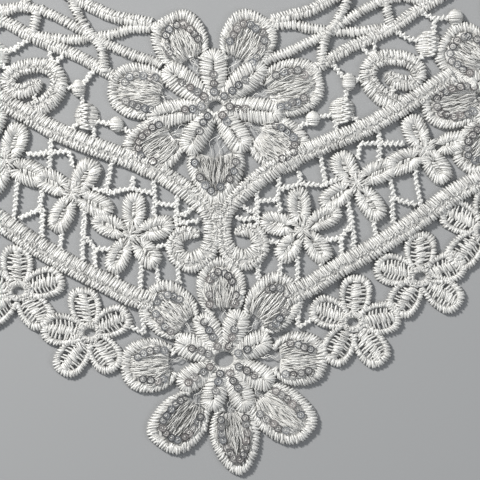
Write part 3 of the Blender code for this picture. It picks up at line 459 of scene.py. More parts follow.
    def finish(self, mat):
        co = np.concatenate(self.co)
        co = np.column_stack([co[:, 0], co[:, 1] - ORIGIN_Y, co[:, 2]]) * 0.001
        quads = np.concatenate(self.quads)
        tris = np.concatenate(self.tris) if self.tris else np.zeros((0, 3), int)
        mesh = bpy.data.meshes.new(self.name)
        mesh.vertices.add(len(co))
        mesh.vertices.foreach_set("co", co.astype(np.float32).ravel())
        loops = np.concatenate([quads.ravel(), tris.ravel()]).astype(np.int32)
        mesh.loops.add(len(loops))
        mesh.loops.foreach_set("vertex_index", loops)
        sizes = np.r_[np.full(len(quads), 4), np.full(len(tris), 3)]
        starts = np.r_[0, np.cumsum(sizes)[:-1]].astype(np.int32)
        mesh.polygons.add(len(sizes))
        mesh.polygons.foreach_set("loop_start", starts)
        mesh.polygons.foreach_set("use_smooth", np.r_[~np.concatenate(self.under), np.ones(len(tris), bool)])
        mesh.update(calc_edges=True)
        uv = mesh.uv_layers.new(name="thread")
        uv.data.foreach_set("uv", np.concatenate(self.uv)[loops].astype(np.float32).ravel())
        tone = mesh.attributes.new("tone", "FLOAT", "POINT")
        tone.data.foreach_set("value", np.clip(np.concatenate(self.tone), 0, 1).astype(np.float32))
        mesh.validate()
        mesh.materials.append(mat)
        obj = bpy.data.objects.new(self.name, mesh)
        bpy.context.scene.collection.objects.link(obj)
        self.triangles = 2 * len(quads) + len(tris)
        TOTAL[0] += self.triangles
        COUNTS[self.name] = self.triangles
        return obj


TOTAL, COUNTS = [0], {}


class Lace:
    """A piece of lace: the padded ground, which is its cloth, and the stitches over it. pitch is the way from one
    thread to the next: half a tooth where the lace is close, more where it is far from the front."""

    def __init__(self, name, seed, pitch=TOOTH / 2):
        self.base = Stitches(name, seed)
        self.over = Stitches(name + "_stitches", seed + 50)
        self.rng = self.over.rng
        self.pitch = pitch

    def row(self, outer, inner, height, lie="edge", reach=0.38, reach_in=0.0, slant=0.0, wobble=0.17, radius=0.31, ring=False, gauge=0.0, ragged=0.0, split=0.0, dense=1.0, sink=0.0, calm=False):
        """Threads from one edge to the other. Every second one is shorter and lower, which makes the teeth."""
        rng = self.rng
        pitch = self.pitch / dense
        coarse = pitch > 0.7
        line = outer * (1 - gauge) + inner * gauge
        s = lengths(line)
        total = s[-1]
        n = max(2, int(round(total / pitch)))
        u = (np.arange(n) + 0.5) * total / n + rng.uniform(-0.36, 0.36, n) * pitch
        long = np.arange(n) % 2 == 0 if not (coarse or calm) else np.ones(n, bool)
        tilt = slant + rng.normal(0, wobble, n)
        a = at_lengths(outer, s, np.clip(u, 0, total))
        v = u + tilt
        b = at_lengths(inner, s, v % total if ring else np.clip(v, 0, total))
        d = b - a
        w = np.maximum(1e-6, np.linalg.norm(d, axis=1))
        d /= w[:, None]
        room = np.minimum(1.0, w / 2.2)
        out = np.where(long, reach * rng.uniform(0.7, 1.2, n), reach * rng.uniform(-0.6, 0.05, n))
        out_in = np.where(long, reach_in * rng.uniform(0.6, 1.35, n), -0.5 * reach_in * rng.uniform(0, 1, n)) + ragged * rng.normal(0, 1, n)
        a, b = a - d * (out * room)[:, None], b + d * (out_in * room)[:, None]
        across, rise = (np.array(x, float) for x in LIES[lie])
        if coarse:
            few = np.array([0, 0.17, 0.8, 1])
            across, rise = few, np.interp(few, across, rise)
        across = np.broadcast_to(across[None, :], (n, len(across))).copy()
        rise = np.broadcast_to(rise[None, :], across.shape).copy()
        if split:
            # some threads surface or dive part of the way across
            full_s, full_z = LIES[lie]
            kind = rng.uniform(0, 1, n)
            lo = np.where(kind < split / 2, rng.uniform(0.3, 0.6, n), 0.0)
            hi = np.where((kind >= split / 2) & (kind < split), rng.uniform(0.4, 0.72, n), 1.0)
            across = lo[:, None] + (hi - lo)[:, None] * across
            rise = np.interp(across, full_s, full_z)
            rise[:, 0] = np.where(lo > 0, rise[:, 0] - 0.12, rise[:, 0])
            rise[:, -1] = np.where(hi < 1, rise[:, -1] - 0.12, rise[:, -1])
        xy = a[:, None, :] + (b - a)[:, None, :] * across[..., None]
        nrm = np.column_stack([-d[:, 1], d[:, 0]])
        bow = rng.normal(0, 0.1, n)[:, None] * np.sin(math.pi * across) + rng.normal(0, 0.035, across.shape)
        xy = xy + nrm[:, None, :] * bow[..., None]
        top = np.interp(u, s, np.broadcast_to(np.asarray(height, float), (len(s),)))
        drop = np.interp(across, [0, 0.14, 0.34], [0.15, 0.08, 0.0]) * np.where(long, 0.0, 1.0)[:, None]
        z = rise * (top * (1 + rng.normal(0, 0.045, n)))[:, None] - drop - radius * 0.5 - sink + FOOT
        thick = radius * np.where(long, 1.05, 1.0) * (1.3 if coarse else 1.0) * rng.uniform(0.82, 1.18, n)
        tone = 0.7 + 0.2 * rng.normal(0, 1, n)
        self.over.threads(np.concatenate([xy, z[..., None]], -1), thick[:, None], flat=0.42, wide=1.3, pinch=(0.8, 0.55), tone=tone, fade=(0.95, 0.8))

    def satin(self, outer, inner, height, form="edge", step=1.15, trim=(0.3, 0.1), **more):
        ring, gauge = more.get("ring", False), more.get("gauge", 0.0)
        self.base.ground(outer, inner, np.asarray(height, float) - 0.24, form, step=step * (1.7 if self.pitch > 0.7 else 1.0), trim=trim, ring=ring, gauge=gauge)
        self.row(outer, inner, height, form, **more)

    def cord(self, place, line, width, height, step=1.15, **more):
        """A cord covered by threads that go right across."""
        line = curve(line, 0.5) if isinstance(line, list) else line
        a, b = sides_of(line, width)
        more.setdefault("slant", 0.5)
        more.setdefault("reach_in", 0.38)
        self.satin(place(a), place(b), height, "cord", step=step, trim=(0.35, 0.35), gauge=0.5, **more)

    def padded(self, place, line, width, height):
        """A wide cord: long stitches from its upper edge, short ones from its lower edge, and small back stitches where
        they meet."""
        line = curve(line, 0.5) if isinstance(line, list) else line
        a, b = sides_of(line, width)
        # painted shade: the padding gets a low tone, for the gaps between its stitches
        self.base.ground(place(a), place(b), height - 0.28, "cord", step=1.15 if self.pitch < 0.7 else 2.4, trim=(0.35, 0.35), gauge=0.5, tone=0.3)
        meet = a + (b - a) * 0.56
        self.row(place(a), place(meet), height, "half", slant=0.55, ragged=0.4, gauge=0.25, wobble=0.16)
        self.row(place(b), place(a + (b - a) * 0.66), height, "half", slant=-0.3, ragged=0.3, gauge=0.25, wobble=0.16)
        self.back_stitches(place, line, width, height, 0.34, 0.84, 2)

    def back_stitches(self, place, line, width, height, low, high, rows, slope=(0.5, 0.9)):
        rng = self.rng
        s = lengths(line)
        count = int(s[-1] / (self.pitch * 1.75) * rows)
        u = rng.uniform(0.3, s[-1] - 0.3, count)
        f = rng.uniform(low, high, count) - 0.5
        long = rng.uniform(0.5, 0.95, count)
        along = rng.uniform(*slope, count) * long
        side = np.sqrt(np.maximum(0.02, long**2 - along**2))
        wide = np.interp(u, s, np.broadcast_to(np.asarray(width, float), (len(s),)))
        high_at = np.interp(u, s, np.broadcast_to(np.asarray(height, float), (len(s),)))
        n = left_of(line)
        lam = np.array([-1.0, -0.4, 0.4, 1.0])
        uu = u[:, None] + along[:, None] * lam[None, :]
        x = np.interp(uu, s, line[:, 0])
        y = np.interp(uu, s, line[:, 1])
        nx, ny = np.interp(uu, s, n[:, 0]), np.interp(uu, s, n[:, 1])
        off = -f[:, None] * wide[:, None] + side[:, None] * lam[None, :]
        xy = place(np.stack([x + nx * off, y + ny * off], -1).reshape(-1, 2)).reshape(count, 4, 2)
        z = high_at[:, None] + np.array([-0.2, 0.12, 0.12, -0.2])[None, :] + rng.uniform(-0.08, 0.1, (count, 1)) - 0.1
        self.over.threads(np.concatenate([xy, z[..., None]], -1), rng.uniform(0.22, 0.32, count)[:, None], tone=0.56 + 0.24 * rng.normal(0, 1, count))

    def double(self, place, line, width, height):
        """A narrow edge cord of two rows of stitches that meet in a seam."""
        line = curve(line, 0.5) if isinstance(line, list) else line
        a, b = sides_of(line, width)
        self.base.ground(place(a), place(b), height - 0.28, "cord", trim=(0.35, 0.35), gauge=0.5)
        for edge, over, lean in ((a, b, 0.5), (b, a, 0.3)):
            self.row(place(edge), place(edge + (over - edge) * 0.56), height, "half", slant=lean, ragged=0.14, gauge=0.5, reach=0.46)

    def finish(self, node, flat, sequins=None):
        ground = self.base.finish(GROUND)
        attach(ground, "root")
        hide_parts(node)
        stitches = self.over.finish(THREAD)
        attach(stitches, "root")
        if sequins:
            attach(sequins, "root")


# ---------------------------------------------------------------- motifs
def filling(lace, to, mouth, top, half_at, lean, reach, count, root=0.8, levels=((1.24, 0.31, 0.68), (1.52, 0.27, 0.84), (1.86, 0.235, 1.0)), long=(3.2, 7.0), short=1.2, painted_light_shift=0.0):
    """Loose glossy threads in short overlapping pieces that run along a petal and draw together towards its base."""
    rng = lace.rng
    lam = np.linspace(0, 1, 4)
    # each level is a height, a thread thickness and a painted shade: the lower threads are darker, as shade falls on
    # them under the upper ones
    for k, (low, thick, shade) in enumerate(levels):
        q = rng.uniform(-1, 1, count)
        limit = top - (top - mouth) * 0.42 * np.abs(q) ** 2.4 - short * k / 2
        run = rng.uniform(*long, count)
        u0 = mouth + rng.uniform(0, 1, count) ** 0.85 * np.maximum(0.5, limit - mouth + 0.3 - run * 0.7)
        u1 = np.minimum(u0 + run, limit + rng.uniform(-0.4, 0.5, count))
        u = u0[:, None] + (u1 - u0)[:, None] * lam[None, :]
        share = np.clip((u - mouth) / (top - mouth), 0, 1)
        spread = half_at(u) * (root + (1 - root) * np.clip(share * 2.1, 0, 1))
        v = (q[:, None] + rng.normal(0, 0.06, (count, 1)) * lam[None, :]) * spread
        v = v + rng.normal(0, 0.2, (count, 4))
        v = v + lean * (u / reach) ** 3
        z = low + np.array([0.0, 0.28, 0.3, 0.05])[None, :] * rng.uniform(0.3, 1.2, (count, 1)) - 0.1
        flat = to(np.column_stack([u.ravel(), v.ravel()])).reshape(count, 4, 2)
        lace.over.threads(np.concatenate([flat, z[..., None]], -1), rng.uniform(0.82, 1.15, count)[:, None] * thick, flat=0.9, wide=1.0, tone=shade + painted_light_shift + 0.12 * rng.normal(0, 1, count))


def big_petal(lace, place, cx, cy, row, height=1.9, count=34, painted_light_shift=0.0):
    """A petal with a satin border and loose filling threads that run back towards the flower's middle."""
    angle, start, reach, width, belly, square, lean = row
    form = petal_form(start, reach, width, belly, square, lean, base=0.42, swell=0.8)
    rim = 2.9
    inner = inset_form(form, start, reach, width, rim, lean)
    mouth = start + 1.9
    inner[:, 0] = np.maximum(inner[:, 0], mouth)
    to = lambda f: place(turned(f, cx, cy, angle))
    n = len(form)
    share = np.linspace(0, 1, n)
    lace.satin(to(form), to(inner), height * (0.84 + 0.16 * np.sin(math.pi * share)), "edge", ragged=0.65, reach=0.42, wobble=0.22)
    # the ground under the filling threads: its tone is painted shade in the gaps between them, raised on petals with
    # painted light and lowered on petals with painted shade
    wide = inset_form(form, start, reach, width, rim - 0.7, lean)
    wide[:, 0] = np.maximum(wide[:, 0], mouth + 1.0)
    spine = np.column_stack([np.clip(inner[:, 0], mouth + 1.4, reach * 0.8), lean * (inner[:, 0] / reach) ** 3])
    lace.base.ground(to(wide), to(spine), 1.02, "flat", step=1.9, trim=(0, 0), tone=0.72 + 0.6 * painted_light_shift)
    k = int(np.argmax(form[:, 0]))
    half_at = lambda u: np.interp(u, form[:k, 0], form[:k, 1] - lean * (form[:k, 0] / reach) ** 3) - rim + 0.9
    filling(lace, to, mouth, reach - rim + 0.5, half_at, lean, reach, count, painted_light_shift=painted_light_shift)

    def chain_line(inset):
        f = inset_form(form, start, reach, width, inset, lean)
        f[:, 0] -= 0.9 * np.clip((f[:, 0] / reach - 0.5) / 0.4, 0, 1)
        return to(f)

    return chain_line


def two_lobed(lace, place, x, y, angle, start, reach, width, height=2.2):
    """A leaf: two rows of stitches run from its edges to the middle, where small back stitches join them."""
    form = petal_form(start, reach, width, 0.66, 0.5, base=0.36, swell=0.8)
    u, v = form[:, 0], form[:, 1]
    top = reach - width * 0.42
    spine = np.column_stack([np.clip(u - 0.3 * np.abs(v), start + 0.4, top), np.sign(v) * 0.15])
    to = lambda f: place(turned(f, x, y, angle))
    share = np.linspace(0, 1, len(form))
    high = height * (0.72 + 0.28 * np.sin(math.pi * share) ** 0.6)
    lace.satin(to(form), to(spine), high, "lobe", reach=0.38, ragged=0.16, wobble=0.16)
    line = np.column_stack([np.linspace(start + 1.5, top, 20), np.zeros(20)])
    lace.back_stitches(lambda f: to(f), line, 2.2, height * 0.94, 0.1, 0.9, 1.3, slope=(0.3, 0.9))


def small_petal(lace, place, x, y, angle, length, width, height=2.15):
    """A small petal: a satin border bent round a hollow that lower stitches cross."""
    form = petal_form(0.4, length, width, 0.56, 0.55, base=0.4, swell=0.8)
    rim = width * 0.435
    inner = inset_form(form, 0.4, length, width, rim)
    inner[:, 1] *= np.interp(inner[:, 0], [0.3 * length, 0.5 * length], [0.35, 1.0])
    inner[:, 0] = np.maximum(inner[:, 0], 0.36 * length)
    a = math.radians(angle)
    to = lambda f: place(turned(np.asarray(f, float) - np.array([length / 2, 0.0]), x, y, angle))
    share = np.linspace(0, 1, len(form))
    lace.satin(to(form), to(inner), height * (0.8 + 0.2 * np.sin(math.pi * share) ** 0.5), "roll", reach=0.4, ragged=0.08, reach_in=0.1)
    # the hollow
    m = 14
    us = np.linspace(0.34 * length, length - rim + 0.3, m)
    half = np.full(m, width / 2 - rim + 0.5)
    lo, hi = np.column_stack([us, -half]), np.column_stack([us, half])
    lace.base.ground(to(lo), to(hi), 0.75, "flat", step=1.6, trim=(0, 0))
    lace.row(to(lo), to(hi), 1.45, "cord", reach=0.1, reach_in=0.1, slant=1.0, dense=0.8, calm=True, wobble=0.3, radius=0.26)


def ladder_petal(lace, place, cx, cy, angle, start, reach, width, height=1.7, rungs=True):
    """A border petal: a satin rim, a rib of slanting stitches along its middle, and open rungs between them."""
    form = petal_form(start, reach, width, 0.62, 0.45, base=0.58, swell=0.85)
    to = lambda f: place(turned(f, cx, cy, angle))
    u, v = form[:, 0], form[:, 1]
    side, tip = 1.85, 2.4
    u2 = start + 1.6 + (u - start) * (reach - tip - start - 1.6) / (reach - start)
    v2 = v * (width / 2 - side) / (width / 2)
    inner = np.column_stack([u2, v2])
    lace.satin(to(form), to(inner), height, "edge", reach=0.36, ragged=0.1, reach_in=0.1)
    n = 24
    rib_u = np.linspace(start + 1.2, reach - tip + 0.3, n)
    wide = 3.3 * np.sin(math.pi * np.linspace(0.14, 0.86, n)) ** 0.35
    line = np.column_stack([rib_u, np.zeros(n)])
    a, b = sides_of(line, wide)
    lace.base.ground(to(a), to(b), height - 0.45, "cord", trim=(0.35, 0.35), gauge=0.5, step=1.6)
    lace.row(to(a), to(b), height, "cord", reach=0.35, reach_in=0.35, slant=0.9, gauge=0.5, wobble=0.32, ragged=0.3)
    if rungs:
        rng = lace.rng
        half_n = int(np.argmax(inner[:, 0]))
        us = np.arange(start + 2.2, reach - tip - 0.2, 1.25 if lace.pitch < 0.7 else 1.8)
        us = us + rng.uniform(-0.3, 0.3, len(us))
        half = np.interp(us, inner[:half_n, 0], inner[:half_n, 1]) + 0.5
        lam = np.array([0.12, 0.45, 0.75, 1.0])
        for sign in (-1, 1):
            px = us[:, None] + 0.75 * lam[None, :] * rng.uniform(0.5, 1.3, len(us))[:, None] - 0.3
            py = sign * half[:, None] * lam[None, :]
            z = np.array([1.3, 1.15, 0.95, 0.9])[None, :] + rng.uniform(-0.12, 0.12, (len(us), 1))
            flat = to(np.column_stack([px.ravel(), py.ravel()])).reshape(len(us), 4, 2)
            lace.over.threads(np.concatenate([flat, np.broadcast_to(z, px.shape)[..., None]], -1), rng.uniform(0.3, 0.42, len(us))[:, None], tone=0.74 + 0.12 * rng.normal(0, 1, len(us)))


def hole_rim(lace, place, x, y, length, height, width, high=1.5, turn=0.0, count=60):
    """The stitches round a flower's open middle, which run out under its petals and leaves."""
    rng = lace.rng
    a = np.linspace(0, 2 * math.pi, 49)
    hole = np.column_stack([length / 2 * np.cos(a), height / 2 * np.sin(a)])
    out = np.column_stack([(length / 2 + width) * np.cos(a), (height / 2 + width) * np.sin(a)])
    lace.base.ground(place(turned(hole, x, y, turn)), place(turned(out, x, y, turn)), high - 0.25, "lobe", ring=True, gauge=0.35, step=1.0, trim=(0.1, 0))
    t = rng.uniform(0, 2 * math.pi, count)
    near = rng.uniform(0, 1, count) ** 1.3 * 0.85
    near[: count // 3] = rng.uniform(0, 0.06, count // 3)
    long = rng.uniform(0.35, 0.6, count) * width
    lean = rng.normal(0, 0.16, count)
    lam = np.array([0, 0.3, 0.7, 1.0])
    r = (near * width)[:, None] + long[:, None] * lam[None, :]
    ang = t[:, None] + lean[:, None] * long[:, None] * lam[None, :] / (length / 2 + width)
    xy = np.stack([(length / 2 + r + 0.05) * np.cos(ang), (height / 2 + r + 0.05) * np.sin(ang)], -1)
    z = high * np.interp(r, [0, 0.35 * width, width], [0.72, 1.0, 1.08]) + np.array([-0.22, 0.05, 0.08, -0.14])[None, :] + rng.uniform(-0.06, 0.08, (count, 1)) - 0.1
    flat = place(turned(xy.reshape(-1, 2), x, y, turn)).reshape(count, 4, 2)
    lace.over.threads(np.concatenate([flat, z[..., None]], -1), rng.uniform(0.24, 0.34, count)[:, None], tone=0.7 + 0.15 * rng.normal(0, 1, count))


def knot(lace, place, x, y, w, h, high=2.5, turn=0.0):
    """A small round knot of satin stitch."""
    t = np.linspace(-0.992, 0.992, 36)
    half = np.sqrt(1 - t**2)
    left = np.column_stack([-w / 2 * half, h / 2 * t])
    right = np.column_stack([w / 2 * half, h / 2 * t])
    lace.satin(place(turned(left, x, y, turn)), place(turned(right, x, y, turn)), high * half**0.6, "cord", reach=0.1, reach_in=0.1, gauge=0.5, dense=1.9, wobble=0.14, step=0.6, calm=True)


def disc(lace, place, x, y, w, h, high=1.75):
    """A disc of loose stitches from side to side, with a zigzag of raised stitches down its middle."""
    rng = lace.rng
    t = np.linspace(-0.96, 0.96, 40)
    half = (1 - np.abs(t) ** 2.2) ** 0.5
    left = np.column_stack([-w / 2 * half, h / 2 * t])
    right = np.column_stack([w / 2 * half, h / 2 * t + 0.25])
    lace.satin(place(turned(left, x, y, 0)), place(turned(right, x, y, 0)), high * (0.7 + 0.3 * half), "cord", gauge=0.5, reach=0.25, reach_in=0.25, dense=0.8, wobble=0.35, calm=True)
    n = 2 * int(h / 1.3)
    k = np.arange(n + 1)
    zig = np.column_stack([0.6 + 0.08 * w * np.sin(k / n * 3.1) + np.where(k % 2, 1.0, -1.0) * rng.uniform(1.0, 1.7, n + 1), h * (k / n - 0.5) * 0.92])
    path = evenly(zig, 0.4)
    z = high + 0.4 + 0.1 * np.sin(np.arange(len(path)) * 1.3)
    flat = place(turned(path, x, y, 0))
    lace.over.threads(np.column_stack([flat, z])[None], 0.38, sides=4, flat=1.0, wide=1.0, tone=np.array([0.98]))


def strays(lace, place, x, y, angle, near, far, count, spread=1.4):
    """A few loose hair-thin threads across an opening."""
    rng = lace.rng
    lam = np.linspace(0, 1, 9)
    paths = []
    for _ in range(count):
        v0, v1 = rng.normal(0, spread * 0.5, 2)
        u = near + (far - near) * lam
        v = v0 + (v1 - v0) * lam + np.sin(math.pi * lam) * rng.normal(0, spread) + rng.uniform(0.3, 0.8) * np.sin(3 * math.pi * lam + rng.uniform(0, 6))
        xy = place(turned(np.column_stack([u, v]), x, y, angle))
        paths.append(np.column_stack([xy, 0.8 + 0.8 * np.sin(math.pi * lam) * rng.uniform(0.4, 1.0)]))
    lace.over.threads(np.array(paths), 0.11, sides=4, flat=1.0, wide=1.0, pinch=0.6, tone=np.full(count, 0.7))


def flower_middle(lace, place, x, y, r, angles):
    """The low middle of a small flower, where its petals' stitches run together."""
    rng = lace.rng
    a = np.linspace(0, 2 * math.pi, 25)
    out = np.column_stack([np.cos(a), np.sin(a)])
    lace.base.ground(place(np.array([x, y]) + out * r), place(np.array([x, y]) + out * 0.05), 1.5, "flat", ring=True, step=1.2, trim=(0, 0), gauge=0.3)
    each = 11 if lace.pitch < 0.7 else 6
    count = each * len(angles)
    pick = np.radians(np.repeat(np.asarray(angles, float), each)) + rng.normal(0, 0.12, count)
    off, along = rng.uniform(-0.55, 0.55, count) * r, rng.uniform(0.15, 1.15, count) * r
    d = np.column_stack([np.cos(pick), np.sin(pick)])
    e = np.column_stack([-d[:, 1], d[:, 0]])
    lam = np.linspace(-1, 1, 4)
    long = rng.uniform(0.4, 0.65, count) * r
    xy = np.array([x, y]) + (d * along[:, None] + e * (off * np.clip(along / r, 0.35, 1.0))[:, None])[:, None, :] + d[:, None, :] * (long[:, None] * lam[None, :])[..., None]
    z = 1.86 + np.array([-0.22, 0.08, 0.08, -0.22])[None, :] + rng.uniform(-0.12, 0.14, (count, 1))
    flat = place(xy.reshape(-1, 2)).reshape(count, 4, 2)
    lace.over.threads(np.concatenate([flat, z[..., None]], -1), rng.uniform(0.24, 0.34, count)[:, None])


# ---------------------------------------------------------------- sequins
class Sequins:
    """Clear cup sequins, gathered into one mesh, with a stitch through the middle of each."""

    PROFILE = [(0.44, 0.13), (0.64, 0.13), (0.92, 0.14), (1.06, 0.2), (1.42, 0.36), (1.5, 0.3), (0.7, 0.0)]
    # painted shade: SHADE darkens the hole's edge, the bevel ring and the rim's outer side, for the light that the
    # clear cup bends away there
    SHADE = [0.9, 0.0, 0.0, 1.0, 0.9, 0.8, 0.0]

    def __init__(self, name, seed):
        self.st = Stitches(name, seed)
        self.places = []

    def chain(self, line, first, last, height=2.0, pitch=2.35, strength=1.0):
        s = lengths(line)
        a, b = first * s[-1], last * s[-1]
        count = max(1, int(round((b - a) / pitch)) + 1)
        for u in np.linspace(a, b, count) if count > 1 else [(a + b) / 2]:
            x, y = at_lengths(line, s, np.array([u]))[0]
            self.places.append((x, y, height, strength))

    def at(self, points, height=1.75, strength=1.0):
        for x, y in points:
            self.places.append((x, y, height, strength))

    def build(self, mat, knots):
        rng = self.st.rng
        k = len(self.places)
        spot = np.array(self.places)
        spot[:, :2] += rng.normal(0, 0.22, (k, 2))
        sides = 10
        a = 2 * math.pi * np.arange(sides) / sides
        prof = np.array(self.PROFILE)
        ring = np.zeros((sides, len(prof), 3))
        ring[..., 0] = np.cos(a)[:, None] * prof[None, :, 0]
        ring[..., 1] = np.sin(a)[:, None] * prof[None, :, 0]
        ring[..., 2] = prof[None, :, 1]
        tilt = rng.normal(0, 0.1, (k, 2))
        p = np.broadcast_to(ring, (k,) + ring.shape) * rng.uniform(0.92, 1.0, k)[:, None, None, None]
        p[..., 2] += tilt[:, 0, None, None] * p[..., 0] + tilt[:, 1, None, None] * p[..., 1]
        p += np.column_stack([spot[:, :2], spot[:, 2] + rng.uniform(-0.15, 0.2, k)])[:, None, None, :]
        # each sequin's pick of painted shimmer, and the strength of its painted rim shade, which varies at random and
        # is weaker where its run was given a lower strength
        hue = rng.uniform(0, 1, k)
        faint = rng.uniform(0.76, 1.06, k).clip(0, 1) * spot[:, 3]
        uv = np.stack([np.broadcast_to(hue[:, None, None], (k, sides, len(prof))), np.broadcast_to(rng.uniform(0, 1, k)[:, None, None], (k, sides, len(prof)))], -1)
        tone = np.array(self.SHADE)[None, None, :] * faint[:, None, None] * np.ones((1, sides, 1))
        self.st.batch(p, np.ascontiguousarray(uv), np.ascontiguousarray(tone), True)
        lam = np.linspace(-1, 1, 4)
        ang = rng.uniform(0, 6.28, k)
        d = np.column_stack([np.cos(ang), np.sin(ang)])
        xy = spot[:, None, :2] + d[:, None, :] * (0.42 * lam)[None, :, None]
        z = spot[:, 2, None] + 0.2 + 0.2 * (1 - lam**2)[None, :] + tilt[:, 0, None] * (xy[..., 0] - spot[:, 0, None]) + tilt[:, 1, None] * (xy[..., 1] - spot[:, 1, None])
        knots.threads(np.concatenate([xy, z[..., None]], -1), 0.24, flat=0.9, wide=1.0, pinch=0.5, tone=np.full(k, 0.98))
        return self.st.finish(mat)


# ---------------------------------------------------------------- materials
def add(tree, kind, **values):
    node = tree.nodes.new(kind)
    for key, value in values.items():
        setattr(node, key, value)
    return node


def thread_material(name, light, dark, bump=0.5, rough=0.26):
    """Lustrous thread: fine fibres along each stitch and a tone that changes at random from one stitch to the next; the
    same tone also carries painted shade at thread ends, on the lower filling threads and on the padding, and painted
    light on some petals and painted shade on others.
    """
    mat = bpy.data.materials.new(name)
    mat.use_nodes = True
    tree = mat.node_tree
    shader = tree.nodes["Principled BSDF"]
    shader.inputs["Roughness"].default_value = rough
    shader.inputs["Specular IOR Level"].default_value = 1.0
    shader.inputs["Sheen Weight"].default_value = 0.15
    shader.inputs["Sheen Roughness"].default_value = 0.4
    uv = add(tree, "ShaderNodeUVMap", uv_map="thread")
    stretch = add(tree, "ShaderNodeMapping")
    stretch.inputs["Scale"].default_value = (2.6, 1.1, 1.0)
    tree.links.new(uv.outputs["UV"], stretch.inputs["Vector"])
    fibre = add(tree, "ShaderNodeTexNoise", noise_dimensions="2D")
    fibre.inputs["Scale"].default_value = 1.4
    fibre.inputs["Detail"].default_value = 3.0
    tree.links.new(stretch.outputs["Vector"], fibre.inputs["Vector"])
    tone = add(tree, "ShaderNodeAttribute", attribute_name="tone")
    place = add(tree, "ShaderNodeTexCoord")
    cloud = add(tree, "ShaderNodeTexNoise")
    cloud.inputs["Scale"].default_value = 110.0
    cloud.inputs["Detail"].default_value = 3.0
    tree.links.new(place.outputs["Object"], cloud.inputs["Vector"])
    grain = add(tree, "ShaderNodeMath", operation="MULTIPLY_ADD")
    grain.inputs[1].default_value = 0.5
    grain.inputs[2].default_value = -0.25
    tree.links.new(fibre.outputs["Fac"], grain.inputs[0])
    total = add(tree, "ShaderNodeMath", operation="ADD")
    tree.links.new(tone.outputs["Fac"], total.inputs[0])
    tree.links.new(grain.outputs[0], total.inputs[1])
    drift = add(tree, "ShaderNodeMath", operation="MULTIPLY_ADD")
    drift.inputs[1].default_value = 0.5
    tree.links.new(cloud.outputs["Fac"], drift.inputs[0])
    shifted = add(tree, "ShaderNodeMath", operation="SUBTRACT")
    shifted.inputs[1].default_value = 0.25
    tree.links.new(total.outputs[0], shifted.inputs[0])
    tree.links.new(shifted.outputs[0], drift.inputs[2])
    ramp = add(tree, "ShaderNodeValToRGB")
    ramp.color_ramp.elements[0].position = 0.1
    ramp.color_ramp.elements[0].color = (*dark, 1)
    ramp.color_ramp.elements[1].position = 0.8
    ramp.color_ramp.elements[1].color = (*light, 1)
    tree.links.new(drift.outputs[0], ramp.inputs["Fac"])
    tree.links.new(ramp.outputs["Color"], shader.inputs["Base Color"])
    relief = add(tree, "ShaderNodeBump")
    relief.inputs["Strength"].default_value = bump
    relief.inputs["Distance"].default_value = 0.00015
    tree.links.new(fibre.outputs["Fac"], relief.inputs["Height"])
    tree.links.new(relief.outputs["Normal"], shader.inputs["Normal"])
    return mat


def sequin_material():
    """Clear plastic. The darker bevel is painted shade, for the light the clear cup bends away there, and the colour
    that differs from one sequin to the next is a painted blue, grey and pink shimmer.
    """
    mat = bpy.data.materials.new("clear_sequin")
    mat.use_nodes = True
    tree = mat.node_tree
    shader = tree.nodes["Principled BSDF"]
    shader.inputs["Roughness"].default_value = 0.3
    shader.inputs["IOR"].default_value = 1.5
    shader.inputs["Specular IOR Level"].default_value = 0.35
    tone = add(tree, "ShaderNodeAttribute", attribute_name="tone")
    uv = add(tree, "ShaderNodeUVMap", uv_map="thread")
    split = add(tree, "ShaderNodeSeparateXYZ")
    tree.links.new(uv.outputs["UV"], split.inputs["Vector"])
    # painted shimmer: a blue, grey or pink cast, picked for each sequin by its first uv coordinate
    painted_shimmer = add(tree, "ShaderNodeValToRGB")
    painted_shimmer.color_ramp.elements[0].color = (0.70, 0.74, 0.80, 1)
    painted_shimmer.color_ramp.elements[1].color = (0.82, 0.75, 0.73, 1)
    mid = painted_shimmer.color_ramp.elements.new(0.5)
    mid.color = (0.75, 0.75, 0.75, 1)
    tree.links.new(split.outputs["X"], painted_shimmer.inputs["Fac"])
    # painted shade: the tone mixes near-black into the bevel ring and the hole's edge, and the alpha below makes these
    # more opaque
    dark = add(tree, "ShaderNodeMix", data_type="RGBA")
    dark.inputs["B"].default_value = (0.035, 0.035, 0.038, 1)
    tree.links.new(painted_shimmer.outputs["Color"], dark.inputs["A"])
    tree.links.new(tone.outputs["Fac"], dark.inputs["Factor"])
    tree.links.new(dark.outputs["Result"], shader.inputs["Base Color"])
    alpha = add(tree, "ShaderNodeMapRange")
    alpha.inputs["To Min"].default_value = 0.08
    alpha.inputs["To Max"].default_value = 0.95
    tree.links.new(tone.outputs["Fac"], alpha.inputs["Value"])
    tree.links.new(alpha.outputs["Result"], shader.inputs["Alpha"])
    return mat


THREAD = thread_material("satin_thread", (0.85, 0.842, 0.812), (0.42, 0.414, 0.395))
GROUND = thread_material("padding_thread", (0.8, 0.79, 0.765), (0.48, 0.475, 0.455), rough=0.55)
CLEAR = sequin_material()


